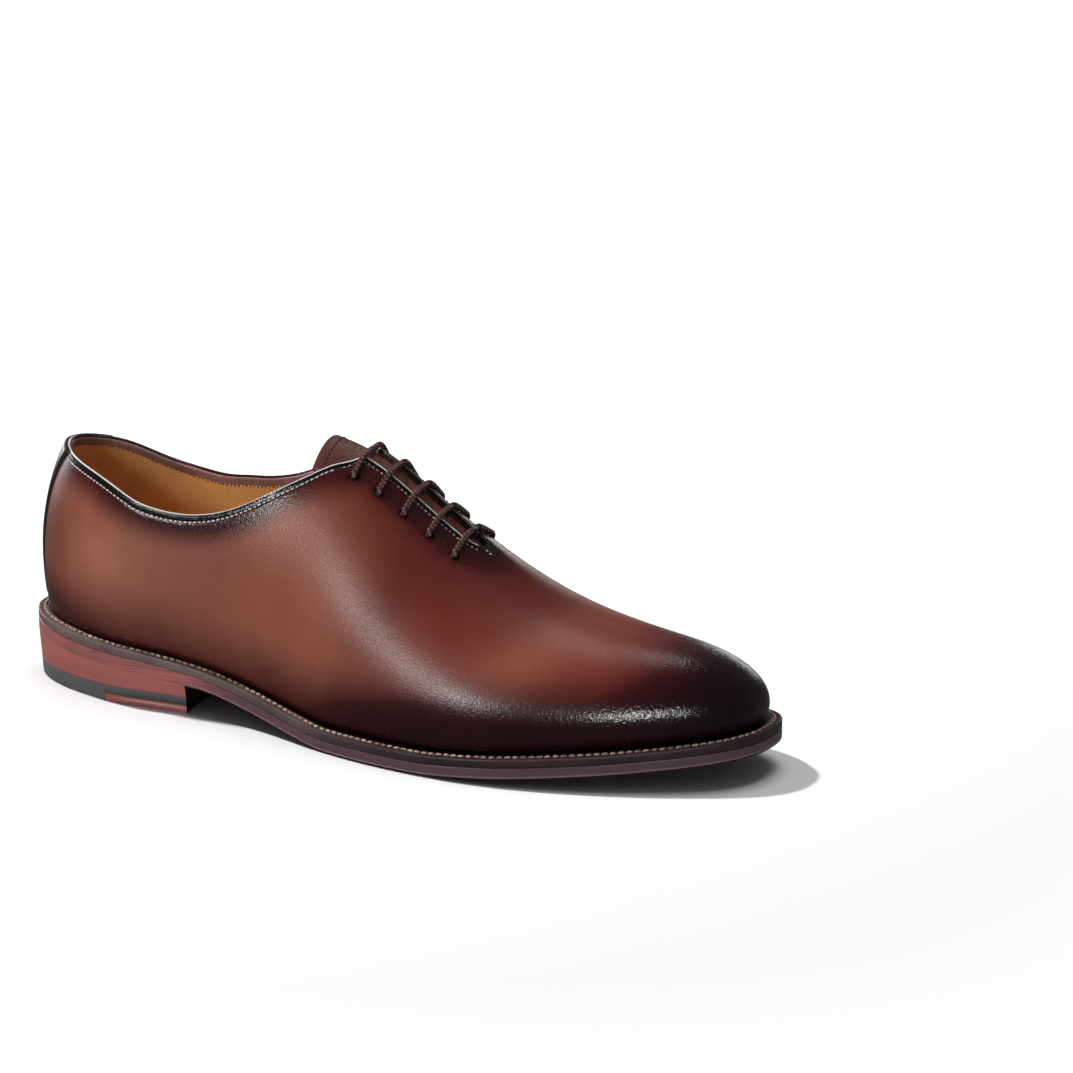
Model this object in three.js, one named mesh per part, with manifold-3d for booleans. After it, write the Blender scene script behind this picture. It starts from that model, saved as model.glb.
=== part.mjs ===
// A right dress shoe whose upper is one piece of leather, laced with five straight bars.
// It stands empty on its sole. Millimetres: X runs from heel to toe, Y to the inner side
// of the foot, Z up. The origin is on the floor, below the middle of the sole's box.
import * as THREE from 'three';
import { mergeVertices } from 'three/addons/utils/BufferGeometryUtils.js';
import Module from 'manifold-3d';

const wasm = await Module();
wasm.setup();

// Driving dimensions of the sole
const SOLE_LENGTH = 306;
const BALL_WIDTH = 101;
const SEAT_WIDTH = 66;
const TOE_SWING = 9.9;
const OUTSOLE_THICKNESS = 4.6;
const WELT_THICKNESS = 3.0;
const WELT_MARGIN_HEEL = 4.3;
const WELT_MARGIN_BALL = 6.0;
const WELT_WIDTH = 16;
const WELT_SHOULDER = 0.9;
const EDGE_BEVEL = 0.7;
const TOE_SPRING = 10.8;

// Driving dimensions of the heel
const HEEL_HEIGHT = 18.2;
const HEEL_LENGTH = 84;
const BREAST_HOLLOW = 4;
const HEEL_TAPER = 1.2;
const TOP_PIECE_THICKNESS = 6.4;
const TOP_INSERT_THICKNESS = 3.1;
const TOP_INSERT_LENGTH = 36;

// Driving dimensions of the upper
const INSTEP_HEIGHT = 98.5;
const BACK_HEIGHT = 92.3;
const COLLAR_DIP = 19.5;
const COLLAR_START = 14;
const THROAT_TOP = 144;
const THROAT_END = 193;
const THROAT_GAPE = 10;
const THROAT_WIDTH = 8;
const THROAT_SHIFT = 3;
const UPPER_WALL = 2.0;
const BULGE = 3.4;
const STRIP_TOP_WIDTH = 27;
const STRIP_FOOT_WIDTH = 12;
const STRIP_GAP = 0.4;
const STRIP_THICKNESS = 1.0;

// Driving dimensions of the lacing, the tongue and the insole
const EYELET_PAIRS = 5;
const EYELET_BORE = 3.4;
const EYELET_INSET = 11;
const FIRST_EYELET = 144;
const LAST_EYELET = 185;
const LACE_DIAMETER = 2.1;
const LACE_REST = 0.42;
const TONGUE_THICKNESS = 1.6;
const TONGUE_GAP = 0.6;
const TONGUE_WIDTH = 46;
const TONGUE_RISE = 16;
const TONGUE_TUCK = 8;
const INSOLE_THICKNESS = 3.2;
const INSOLE_CLEARANCE = 1.0;
const SEAM_GAP = 0.3;

// How finely the solids are faceted
const SIDE_RIBS = 40;
const RIB_ROWS = 16;
const SOLE_STEPS = 34;
const STRIP_COLUMNS = 6;
const TONGUE_ACROSS = 12;
const CORD_SIDES = 8;
const CORD_STEPS = 18;
const PUNCH_SIDES = 10;
const TURN_STEP = 0.0005;

const LATERAL = -1;
const MEDIAL = 1;

// The sole's half widths. along: share of the length. lateral, medial: shares of the local
// width, which is the seat's at the heel and the ball's further forward.
const OUTLINE = [
  { along: 0.0, lateral: 0.512, medial: 0.487 },
  { along: 0.12, lateral: 0.513, medial: 0.490 },
  { along: 0.21, lateral: 0.506, medial: 0.465 },
  { along: 0.3, lateral: 0.430, medial: 0.362 },
  { along: 0.38, lateral: 0.402, medial: 0.290 },
  { along: 0.46, lateral: 0.430, medial: 0.305 },
  { along: 0.54, lateral: 0.480, medial: 0.385 },
  { along: 0.62, lateral: 0.509, medial: 0.465 },
  { along: 0.68, lateral: 0.512, medial: 0.490 },
  { along: 0.76, lateral: 0.480, medial: 0.466 },
  { along: 0.83, lateral: 0.422, medial: 0.400 },
  { along: 0.88, lateral: 0.378, medial: 0.354 },
  { along: 0.94, lateral: 0.345, medial: 0.325 },
  { along: 1.0, lateral: 0.345, medial: 0.325 },
];
const SEAT_END = 0.2;
const BALL_START = 0.5;
const SWING_START = 0.5;
const WIDER_MARGIN = { from: 0.3, to: 0.55 };
const HEEL_ROUND = { reach: 0.2, power: 2 };
const TOE_ROUND = { reach: 0.18, power: 2.3 };

// Height of the outsole's underside. heel: share of the heel height. toe: share of the toe
// spring. Both are nought on the flat tread.
const UNDERSIDE = [
  { along: 0.0, heel: 1.0, toe: 0 },
  { along: 0.1, heel: 0.875, toe: 0 },
  { along: 0.2, heel: 0.755, toe: 0 },
  { along: 0.3, heel: 0.55, toe: 0 },
  { along: 0.38, heel: 0.3, toe: 0 },
  { along: 0.45, heel: 0.09, toe: 0 },
  { along: 0.5, heel: 0, toe: 0 },
  { along: 0.62, heel: 0, toe: 0 },
  { along: 0.7, heel: 0, toe: 0.12 },
  { along: 0.8, heel: 0, toe: 0.37 },
  { along: 0.9, heel: 0, toe: 0.66 },
  { along: 1.0, heel: 0, toe: 1.0 },
];

// The ridge of the closed last. along: share of the length. height: share of the instep
// height. swing: sideways shift as a share of the toe swing.
const RIDGE = [
  { along: 0.12, height: 1.15, swing: 0 },
  { along: 0.26, height: 1.18, swing: 0 },
  { along: 0.36, height: 1.14, swing: 0.3 },
  { along: 0.42, height: 1.09, swing: 0.6 },
  { along: 0.47, height: 1.038, swing: 0.76 },
  { along: 0.51, height: 0.97, swing: 0.8 },
  { along: 0.56, height: 0.862, swing: 0.8 },
  { along: 0.61, height: 0.757, swing: 0.8 },
  { along: 0.66, height: 0.655, swing: 0.8 },
  { along: 0.71, height: 0.565, swing: 0.84 },
  { along: 0.76, height: 0.507, swing: 0.9 },
  { along: 0.8, height: 0.477, swing: 0.95 },
];

// The ribs that run from the welt up to the ridge. turn: 0 at the back seam, 1 at the toe.
// ridge: where the rib meets the ridge, as a share of the length. crown: how round it is
// there. wall: how upright it stands below. lateral, medial: how far it bulges over the welt.
const RIBS = [
  { turn: 0.0, ridge: 0.15, crown: 2.3, wall: 2.4, lateral: 0.5, medial: 0.5 },
  { turn: 0.1, ridge: 0.165, crown: 2.35, wall: 2.5, lateral: 0.5, medial: 0.5 },
  { turn: 0.2, ridge: 0.2, crown: 2.5, wall: 2.8, lateral: 0.6, medial: 0.6 },
  { turn: 0.3, ridge: 0.26, crown: 2.6, wall: 2.9, lateral: 0.8, medial: 0.6 },
  { turn: 0.4, ridge: 0.36, crown: 2.1, wall: 2.6, lateral: 0.9, medial: 0.5 },
  { turn: 0.5, ridge: 0.495, crown: 1.75, wall: 2.1, lateral: 1.0, medial: 0.7 },
  { turn: 0.6, ridge: 0.635, crown: 1.65, wall: 2.1, lateral: 1.0, medial: 0.9 },
  { turn: 0.7, ridge: 0.715, crown: 1.9, wall: 2.2, lateral: 1.0, medial: 1.0 },
  { turn: 0.8, ridge: 0.755, crown: 2.1, wall: 2.4, lateral: 0.9, medial: 0.9 },
  { turn: 0.9, ridge: 0.775, crown: 2.3, wall: 2.5, lateral: 0.7, medial: 0.7 },
  { turn: 1.0, ridge: 0.782, crown: 2.4, wall: 2.6, lateral: 0.6, medial: 0.6 },
];

// The collar's edge dips between the back and the throat. way: 0 at the back, 1 at the
// throat. lateral, medial: shares of the dip.
const COLLAR = [
  { way: 0.0, lateral: 0.0, medial: 0.0 },
  { way: 0.1, lateral: 0.2, medial: 0.22 },
  { way: 0.2, lateral: 0.375, medial: 0.55 },
  { way: 0.3, lateral: 0.62, medial: 0.76 },
  { way: 0.37, lateral: 0.825, medial: 0.84 },
  { way: 0.44, lateral: 0.945, medial: 0.86 },
  { way: 0.51, lateral: 1.0, medial: 0.82 },
  { way: 0.57, lateral: 0.99, medial: 0.79 },
  { way: 0.64, lateral: 0.91, medial: 0.72 },
  { way: 0.71, lateral: 0.75, medial: 0.6 },
  { way: 0.8, lateral: 0.46, medial: 0.36 },
  { way: 0.89, lateral: 0.17, medial: 0.09 },
  { way: 0.95, lateral: 0.0, medial: -0.05 },
  { way: 1.0, lateral: -0.08, medial: -0.1 },
  { way: 1.05, lateral: -0.4, medial: -0.42 },
];
const COLLAR_LAST = COLLAR[COLLAR.length - 1].way;

// Colours and gloss
const MATERIALS = {
  upper: new THREE.MeshStandardMaterial({ color: 0x6e3526, roughness: 0.35, metalness: 0 }),
  strip: new THREE.MeshStandardMaterial({ color: 0x24120f, roughness: 0.35, metalness: 0 }),
  tongue: new THREE.MeshStandardMaterial({ color: 0x5a352a, roughness: 0.5, metalness: 0 }),
  insole: new THREE.MeshStandardMaterial({ color: 0xb98a52, roughness: 0.7, metalness: 0 }),
  welt: new THREE.MeshStandardMaterial({ color: 0x4a3533, roughness: 0.5, metalness: 0 }),
  outsole: new THREE.MeshStandardMaterial({ color: 0x4a2523, roughness: 0.45, metalness: 0 }),
  heel: new THREE.MeshStandardMaterial({ color: 0x7d3f33, roughness: 0.45, metalness: 0 }),
  rubber: new THREE.MeshStandardMaterial({ color: 0x2a2a2b, roughness: 0.75, metalness: 0 }),
  lace: new THREE.MeshStandardMaterial({ color: 0x3a221d, roughness: 0.8, metalness: 0 }),
};

function mix(a, b, share) {
  return a + (b - a) * share;
}

function clamp01(value) {
  return Math.min(1, Math.max(0, value));
}

function easeBetween(from, to, value) {
  const share = clamp01((value - from) / (to - from));
  return share * share * (3 - 2 * share);
}

// A natural cubic spline through one column of a table
function splineOf(rows, place, column) {
  const n = rows.length;
  const x = rows.map((row) => row[place]);
  const y = rows.map((row) => row[column]);
  const bend = new Array(n).fill(0);
  const work = new Array(n).fill(0);
  for (let i = 1; i < n - 1; i++) {
    const before = x[i] - x[i - 1];
    const after = x[i + 1] - x[i];
    const pivot = 2 * (before + after) - before * bend[i - 1];
    const slopes = (y[i + 1] - y[i]) / after - (y[i] - y[i - 1]) / before;
    bend[i] = after / pivot;
    work[i] = (6 * slopes - before * work[i - 1]) / pivot;
  }
  const curve = new Array(n).fill(0);
  for (let i = n - 2; i > 0; i--) curve[i] = work[i] - bend[i] * curve[i + 1];
  return (at) => {
    let k = 0;
    while (k < n - 2 && at > x[k + 1]) k++;
    const h = x[k + 1] - x[k];
    const left = x[k + 1] - at;
    const right = at - x[k];
    const cubic = (curve[k] * left ** 3 + curve[k + 1] * right ** 3) / (6 * h);
    return cubic + (y[k] / h - (curve[k] * h) / 6) * left + (y[k + 1] / h - (curve[k + 1] * h) / 6) * right;
  };
}

// A curve through one column of a table that never overshoots, so level rows stay level
function levelCurveOf(rows, place, column) {
  const n = rows.length;
  const x = rows.map((row) => row[place]);
  const y = rows.map((row) => row[column]);
  const rise = x.slice(1).map((value, i) => (y[i + 1] - y[i]) / (value - x[i]));
  const slope = x.map((value, i) => {
    if (i === 0) return rise[0];
    if (i === n - 1) return rise[n - 2];
    if (rise[i - 1] * rise[i] <= 0) return 0;
    return (2 * rise[i - 1] * rise[i]) / (rise[i - 1] + rise[i]);
  });
  return (at) => {
    let k = 0;
    while (k < n - 2 && at > x[k + 1]) k++;
    const h = x[k + 1] - x[k];
    const t = clamp01((at - x[k]) / h);
    const stay = (1 + 2 * t) * (1 - t) ** 2 * y[k] + t * t * (3 - 2 * t) * y[k + 1];
    return stay + h * t * (1 - t) * ((1 - t) * slope[k] - t * slope[k + 1]);
  };
}

const outlineWidth = {
  [LATERAL]: splineOf(OUTLINE, 'along', 'lateral'),
  [MEDIAL]: splineOf(OUTLINE, 'along', 'medial'),
};
const undersideHeel = levelCurveOf(UNDERSIDE, 'along', 'heel');
const undersideToe = levelCurveOf(UNDERSIDE, 'along', 'toe');
const ridgeHeight = splineOf(RIDGE, 'along', 'height');
const ridgeSwing = splineOf(RIDGE, 'along', 'swing');
const ribRidge = splineOf(RIBS, 'turn', 'ridge');
const ribCrown = splineOf(RIBS, 'turn', 'crown');
const ribWall = splineOf(RIBS, 'turn', 'wall');
const ribBulge = {
  [LATERAL]: splineOf(RIBS, 'turn', 'lateral'),
  [MEDIAL]: splineOf(RIBS, 'turn', 'medial'),
};
const collarDip = {
  [LATERAL]: splineOf(COLLAR, 'way', 'lateral'),
  [MEDIAL]: splineOf(COLLAR, 'way', 'medial'),
};

// The sole's outline and levels

function roundEnd(distance, end) {
  if (distance >= end.reach) return 1;
  return Math.max(0, 1 - (1 - distance / end.reach) ** end.power) ** (1 / end.power);
}

function halfWidth(along, side) {
  const width = mix(SEAT_WIDTH, BALL_WIDTH, easeBetween(SEAT_END, BALL_START, along));
  const ends = roundEnd(along, HEEL_ROUND) * roundEnd(1 - along, TOE_ROUND);
  return width * outlineWidth[side](along) * ends;
}

function centreLine(along) {
  return TOE_SWING * clamp01((along - SWING_START) / (1 - SWING_START)) ** 2;
}

// turn runs from 0 at the back to 1 at the toe
function sideOfLoop(loop) {
  const wrapped = ((loop % 2) + 2) % 2;
  return wrapped <= 1 ? { turn: wrapped, side: LATERAL } : { turn: 2 - wrapped, side: MEDIAL };
}

function edgePoint(loop) {
  const { turn, side } = sideOfLoop(loop);
  const along = (1 - Math.cos(Math.PI * turn)) / 2;
  const y = centreLine(along) + side * halfWidth(along, side);
  return new THREE.Vector2(along * SOLE_LENGTH, y);
}

function outwardAt(loop) {
  const step = 0.004;
  const ahead = edgePoint(loop + step).sub(edgePoint(loop - step)).normalize();
  return new THREE.Vector2(ahead.y, -ahead.x);
}

function insetPoint(loop, margin) {
  return edgePoint(loop).addScaledVector(outwardAt(loop), -margin);
}

function underside(x) {
  const along = clamp01(x / SOLE_LENGTH);
  return HEEL_HEIGHT * undersideHeel(along) + TOE_SPRING * undersideToe(along);
}

function weltTop(x) {
  return underside(x) + OUTSOLE_THICKNESS + SEAM_GAP + WELT_THICKNESS;
}

function weltMargin(x) {
  const share = easeBetween(WIDER_MARGIN.from, WIDER_MARGIN.to, x / SOLE_LENGTH);
  return mix(WELT_MARGIN_HEEL, WELT_MARGIN_BALL, share);
}

// The upper's outer surface

function featherPoint(loop) {
  const margin = weltMargin(edgePoint(loop).x);
  const plan = insetPoint(loop, margin);
  return new THREE.Vector3(plan.x, plan.y, weltTop(plan.x) + SEAM_GAP);
}

function ridgePoint(along) {
  const height = INSTEP_HEIGHT * ridgeHeight(along);
  return new THREE.Vector3(along * SOLE_LENGTH, TOE_SWING * ridgeSwing(along), height);
}

function ridgeSlope(along) {
  const step = 0.005;
  const ahead = ridgePoint(along + step);
  const behind = ridgePoint(along - step);
  return (ahead.z - behind.z) / (ahead.x - behind.x);
}

// u (1 - u)^2 is at its largest at a third, and this factor makes that 1
const SWELL_PEAK = 27 / 4;

// climb runs from 0 at the welt to 1 on the ridge
function upperPoint(loop, climb) {
  const { turn, side } = sideOfLoop(loop);
  const foot = featherPoint(loop);
  const along = ribRidge(turn);
  const top = ridgePoint(along);
  const angle = (climb * Math.PI) / 2;
  const inward = 1 - Math.max(0, Math.cos(angle)) ** (2 / ribCrown(turn));
  const upward = Math.sin(angle) ** (2 / ribWall(turn));
  const swell = BULGE * ribBulge[side](turn) * SWELL_PEAK * upward * (1 - upward) ** 2;
  const outward = outwardAt(loop);
  const x = mix(foot.x, top.x, inward) + outward.x * swell;
  const y = mix(foot.y, top.y, inward) + outward.y * swell;
  const fall = ridgeSlope(along) * (x - top.x) * inward ** 2;
  return new THREE.Vector3(x, y, mix(foot.z, top.z, upward) + fall);
}

function upperNormal(loop, climb) {
  const step = 0.002;
  if (climb > 1 - step) {
    const slope = ridgeSlope(ribRidge(sideOfLoop(loop).turn));
    return new THREE.Vector3(-slope, 0, 1).normalize();
  }
  const middle = Math.max(2 * step, climb);
  const around = upperPoint(loop + step, middle).sub(upperPoint(loop - step, middle));
  const up = upperPoint(loop, middle + step).sub(upperPoint(loop, middle - step));
  return around.cross(up).normalize();
}

// The throat lies to the outer side of the ridge and gapes from its end towards its top
function halfGape(x) {
  const share = (THROAT_END - x) / (THROAT_END - THROAT_TOP);
  return mix(THROAT_WIDTH, THROAT_GAPE, clamp01(share)) / 2;
}

// Above nought inside the opening of the collar and the throat
function openingAt(point, side) {
  const way = (point.x - COLLAR_START) / (THROAT_TOP - COLLAR_START);
  const dip = COLLAR_DIP * collarDip[side](Math.min(way, COLLAR_LAST));
  const edge = mix(BACK_HEIGHT, INSTEP_HEIGHT, way) - dip;
  const aboveCollar = way < COLLAR_LAST ? point.z - edge : -1;
  const along = point.x / SOLE_LENGTH;
  const toMiddle = Math.abs(point.y - TOE_SWING * ridgeSwing(along) + THROAT_SHIFT);
  const closing = clamp01((THROAT_END - point.x) / THROAT_WIDTH);
  const slit = halfGape(point.x) * Math.sqrt(closing) - toMiddle;
  const beside = point.x > THROAT_TOP - THROAT_WIDTH && point.x < THROAT_END;
  return Math.max(aboveCollar, beside ? slit : -1);
}

// Where a rib ends: at the collar, at the throat, or on the ridge
function ribEnd(loop) {
  const { side } = sideOfLoop(loop);
  const steps = 60;
  for (let i = 1; i <= steps; i++) {
    if (openingAt(upperPoint(loop, i / steps), side) > 0) {
      let low = (i - 1) / steps;
      let high = i / steps;
      for (let k = 0; k < 20; k++) {
        const middle = (low + high) / 2;
        if (openingAt(upperPoint(loop, middle), side) > 0) high = middle;
        else low = middle;
      }
      return low;
    }
  }
  return 1;
}

// Climbs that are equally far apart along a rib
function evenClimbs(loop, from, to, rows) {
  const steps = 80;
  const lengths = [0];
  let last = upperPoint(loop, from);
  for (let i = 1; i <= steps; i++) {
    const next = upperPoint(loop, mix(from, to, i / steps));
    lengths.push(lengths[i - 1] + next.distanceTo(last));
    last = next;
  }
  const climbs = [];
  for (let row = 0; row <= rows; row++) {
    const wanted = (lengths[steps] * row) / rows;
    let i = 0;
    while (i < steps - 1 && lengths[i + 1] < wanted) i++;
    const share = (wanted - lengths[i]) / (lengths[i + 1] - lengths[i]);
    climbs.push(mix(from, to, (i + share) / steps));
  }
  return climbs;
}

// Solids from rows of points

function geometryOf(points, triangles) {
  const geometry = new THREE.BufferGeometry();
  const flat = points.flatMap((point) => [point.x, point.y, point.z]);
  geometry.setAttribute('position', new THREE.Float32BufferAttribute(flat, 3));
  geometry.setIndex(triangles);
  return geometry;
}

// Two grids of points, outside and inside, closed along their edges. Columns that meet on
// the ridge need no edge there.
function shellOf(outer, inner, wraps, meets = () => false) {
  const columns = outer.length;
  const rows = outer[0].length;
  const points = [...outer.flat(), ...inner.flat()];
  const offset = columns * rows;
  const top = rows - 1;
  const triangles = [];
  const quad = (a, b, c, d) => triangles.push(a, b, c, a, c, d);
  for (let i = 0; i < (wraps ? columns : columns - 1); i++) {
    const follower = (i + 1) % columns;
    const here = i * rows;
    const next = follower * rows;
    for (let j = 0; j < top; j++) {
      quad(here + j, next + j, next + j + 1, here + j + 1);
      quad(offset + here + j, offset + here + j + 1, offset + next + j + 1, offset + next + j);
    }
    quad(here, offset + here, offset + next, next);
    if (!(meets(i) && meets(follower))) {
      quad(here + top, next + top, offset + next + top, offset + here + top);
    }
  }
  if (!wraps) {
    const end = (columns - 1) * rows;
    for (let j = 0; j < top; j++) {
      quad(j, j + 1, offset + j + 1, offset + j);
      quad(end + j, offset + end + j, offset + end + j + 1, end + j + 1);
    }
  }
  return geometryOf(points, triangles);
}

function manifoldOf(geometry) {
  const merged = geometry.clone();
  merged.deleteAttribute('normal');
  merged.deleteAttribute('uv');
  const whole = mergeVertices(merged, 1e-4);
  const vertProperties = new Float32Array(whole.attributes.position.array);
  const triVerts = new Uint32Array(whole.index.array);
  return new wasm.Manifold(new wasm.Mesh({ numProp: 3, vertProperties, triVerts }));
}

function geometryFrom(manifold) {
  const mesh = manifold.getMesh();
  const geometry = new THREE.BufferGeometry();
  geometry.setAttribute('position', new THREE.BufferAttribute(new Float32Array(mesh.vertProperties), 3));
  geometry.setIndex(new THREE.BufferAttribute(new Uint32Array(mesh.triVerts), 1));
  return geometry;
}

const shoe = new THREE.Group();

function addPiece(name, geometry, material) {
  const bare = geometry.clone();
  bare.deleteAttribute('normal');
  bare.deleteAttribute('uv');
  const whole = mergeVertices(bare, 1e-4);
  const corners = whole.index.array;
  const kept = [];
  for (let i = 0; i < corners.length; i += 3) {
    const [a, b, c] = [corners[i], corners[i + 1], corners[i + 2]];
    if (a !== b && b !== c && c !== a) kept.push(a, b, c);
  }
  whole.setIndex(kept);
  whole.computeVertexNormals();
  const mesh = new THREE.Mesh(whole, material);
  mesh.name = name;
  shoe.add(mesh);
}

// Plates inside the sole's outline

function turnAt(x) {
  return Math.acos(1 - (2 * x) / SOLE_LENGTH) / Math.PI;
}

// Rows of points across the sole. Each row may be hollowed backwards, more towards the front.
function plateGrid(shape, margin) {
  const grid = [];
  for (let i = 0; i <= shape.steps; i++) {
    const share = i / shape.steps;
    const turn = shape.to * share;
    const left = insetPoint(turn, margin(edgePoint(turn).x));
    const right = insetPoint(-turn, margin(edgePoint(turn).x));
    const row = [];
    for (let k = 0; k <= shape.across; k++) {
      const y = mix(left.y, right.y, k / shape.across);
      const hollow = shape.hollow * share ** 3 * (1 - ((2 * k) / shape.across - 1) ** 2);
      row.push(new THREE.Vector2(mix(left.x, right.x, k / shape.across) - hollow, y));
    }
    grid.push(row);
  }
  return grid;
}

// layers go from the top down, each with its margin from the sole's edge and its level
function plateOf(shape, layers) {
  const columns = shape.across + 1;
  const rows = shape.steps + 1;
  const points = [];
  const triangles = [];
  for (const layer of layers) {
    for (const row of plateGrid(shape, layer.margin)) {
      for (const plan of row) points.push(new THREE.Vector3(plan.x, plan.y, layer.level(plan.x)));
    }
  }
  const at = (layer, i, k) => layer * rows * columns + i * columns + k;
  const bottom = layers.length - 1;
  for (let i = 0; i < rows - 1; i++) {
    for (let k = 0; k < columns - 1; k++) {
      triangles.push(at(0, i, k), at(0, i + 1, k), at(0, i + 1, k + 1));
      triangles.push(at(0, i, k), at(0, i + 1, k + 1), at(0, i, k + 1));
      triangles.push(at(bottom, i, k), at(bottom, i + 1, k + 1), at(bottom, i + 1, k));
      triangles.push(at(bottom, i, k), at(bottom, i, k + 1), at(bottom, i + 1, k + 1));
    }
  }
  const rim = [];
  for (let i = 0; i < rows - 1; i++) rim.push([i, 0]);
  for (let k = 0; k < columns - 1; k++) rim.push([rows - 1, k]);
  for (let i = rows - 1; i > 0; i--) rim.push([i, columns - 1]);
  for (let k = columns - 1; k > 0; k--) rim.push([0, k]);
  for (let layer = 0; layer < bottom; layer++) {
    rim.forEach(([i, k], place) => {
      const [p, q] = rim[(place + 1) % rim.length];
      triangles.push(at(layer, i, k), at(layer + 1, i, k), at(layer + 1, p, q));
      triangles.push(at(layer, i, k), at(layer + 1, p, q), at(layer, p, q));
    });
  }
  return geometryOf(points, triangles);
}

const flat = (value) => () => value;

function addOutsole() {
  const top = (x) => underside(x) + OUTSOLE_THICKNESS;
  const low = (x) => underside(x) + EDGE_BEVEL;
  const shape = { to: 1, steps: SOLE_STEPS, across: 2, hollow: 0 };
  const layers = [
    { margin: flat(0), level: top },
    { margin: flat(0), level: low },
    { margin: flat(EDGE_BEVEL), level: underside },
  ];
  addPiece('outsole', plateOf(shape, layers), MATERIALS.outsole);
}

// The welt is a strip swept round the edge, with its outer top edge rounded off
function addWelt() {
  const bottom = (x) => underside(x) + OUTSOLE_THICKNESS + SEAM_GAP;
  const profile = [
    { inset: EDGE_BEVEL, lift: WELT_THICKNESS },
    { inset: 0, lift: WELT_THICKNESS - WELT_SHOULDER },
    { inset: 0, lift: 0 },
    { inset: WELT_WIDTH, lift: 0 },
    { inset: WELT_WIDTH, lift: WELT_THICKNESS },
  ];
  const count = 2 * SOLE_STEPS;
  const points = [];
  const triangles = [];
  for (let i = 0; i < count; i++) {
    for (const { inset, lift } of profile) {
      const plan = insetPoint((2 * i) / count, inset);
      points.push(new THREE.Vector3(plan.x, plan.y, bottom(plan.x) + lift));
    }
    const here = i * profile.length;
    const next = ((i + 1) % count) * profile.length;
    for (let k = 0; k < profile.length; k++) {
      const up = (k + 1) % profile.length;
      triangles.push(here + k, here + up, next + up, here + k, next + up, next + k);
    }
  }
  addPiece('welt', geometryOf(points, triangles), MATERIALS.welt);
}

function addInsole() {
  const margin = (x) => weltMargin(x) + UPPER_WALL + INSOLE_CLEARANCE;
  const bottom = (x) => weltTop(x) + SEAM_GAP;
  const top = (x) => bottom(x) + INSOLE_THICKNESS;
  const shape = { to: 1, steps: SOLE_STEPS, across: 2, hollow: 0 };
  addPiece('insole', plateOf(shape, [{ margin, level: top }, { margin, level: bottom }]), MATERIALS.insole);
}

// Heel

function heelPlate(layers) {
  const shape = { to: turnAt(HEEL_LENGTH), steps: 14, across: 8, hollow: BREAST_HOLLOW };
  return plateOf(shape, layers);
}

function heelMargin(height) {
  return flat(HEEL_TAPER * (1 - height / HEEL_HEIGHT));
}

function addHeelStack() {
  const top = (x) => underside(x) - SEAM_GAP;
  const bottom = TOP_PIECE_THICKNESS + SEAM_GAP;
  const layers = [
    { margin: flat(0), level: top },
    { margin: heelMargin(bottom), level: flat(bottom) },
  ];
  addPiece('heel_stack', heelPlate(layers), MATERIALS.heel);
}

function blockOf(fromX, toX, width, fromZ, toZ) {
  const block = new THREE.BoxGeometry(toX - fromX, width, toZ - fromZ);
  block.translate((fromX + toX) / 2, 0, (fromZ + toZ) / 2);
  return manifoldOf(block);
}

// The rubber is full at the back, and over the leather insert it is thin
function addTopPiece() {
  const plate = manifoldOf(
    heelPlate([
      { margin: heelMargin(TOP_PIECE_THICKNESS), level: flat(TOP_PIECE_THICKNESS) },
      { margin: heelMargin(0), level: flat(0) },
    ]),
  );
  const start = HEEL_LENGTH - TOP_INSERT_LENGTH;
  const reach = 2 * SOLE_LENGTH;
  const recess = blockOf(start - SEAM_GAP, reach, reach, -reach, TOP_INSERT_THICKNESS + SEAM_GAP);
  const insert = blockOf(start, reach, reach, -reach, TOP_INSERT_THICKNESS);
  addPiece('heel_top_piece', geometryFrom(plate.subtract(recess)), MATERIALS.rubber);
  addPiece('heel_top_insert', geometryFrom(plate.intersect(insert)), MATERIALS.heel);
}

// Upper

function pushed(loop, climb, distance) {
  return upperPoint(loop, climb).addScaledVector(upperNormal(loop, climb), distance);
}

function upperShell(wall) {
  const outer = [];
  const inner = [];
  const ends = [];
  for (let k = 0; k < 2 * SIDE_RIBS; k++) {
    const loop = k / SIDE_RIBS;
    const end = ribEnd(loop);
    const climbs = evenClimbs(loop, 0, end, RIB_ROWS);
    ends.push(end);
    outer.push(climbs.map((climb) => upperPoint(loop, climb)));
    inner.push(climbs.map((climb) => pushed(loop, climb, -wall)));
  }
  return shellOf(outer, inner, true, (column) => ends[column] === 1);
}

function turnOfRidge(x) {
  let low = 0;
  let high = 1;
  for (let i = 0; i < 40; i++) {
    const middle = (low + high) / 2;
    if (ribRidge(middle) * SOLE_LENGTH < x) low = middle;
    else high = middle;
  }
  return low;
}

// The place on the closed last that lies so far down from the ridge, measured straight
function besideRidge(x, side, distance) {
  const loop = -side * turnOfRidge(x);
  const crest = upperPoint(loop, 1);
  let low = 0;
  let high = 1;
  for (let i = 0; i < 40; i++) {
    const middle = (low + high) / 2;
    if (upperPoint(loop, middle).distanceTo(crest) > distance) low = middle;
    else high = middle;
  }
  return { loop, climb: distance > 0 ? low : 1 };
}

function eyeletX(pair) {
  return mix(FIRST_EYELET, LAST_EYELET, pair / (EYELET_PAIRS - 1));
}

// How far a pair's eyelet lies from the ridge
function eyeletReach(pair, side) {
  return halfGape(eyeletX(pair)) + EYELET_INSET - side * THROAT_SHIFT;
}

function eyeletSpot(pair, side) {
  return besideRidge(eyeletX(pair), side, eyeletReach(pair, side));
}

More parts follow.
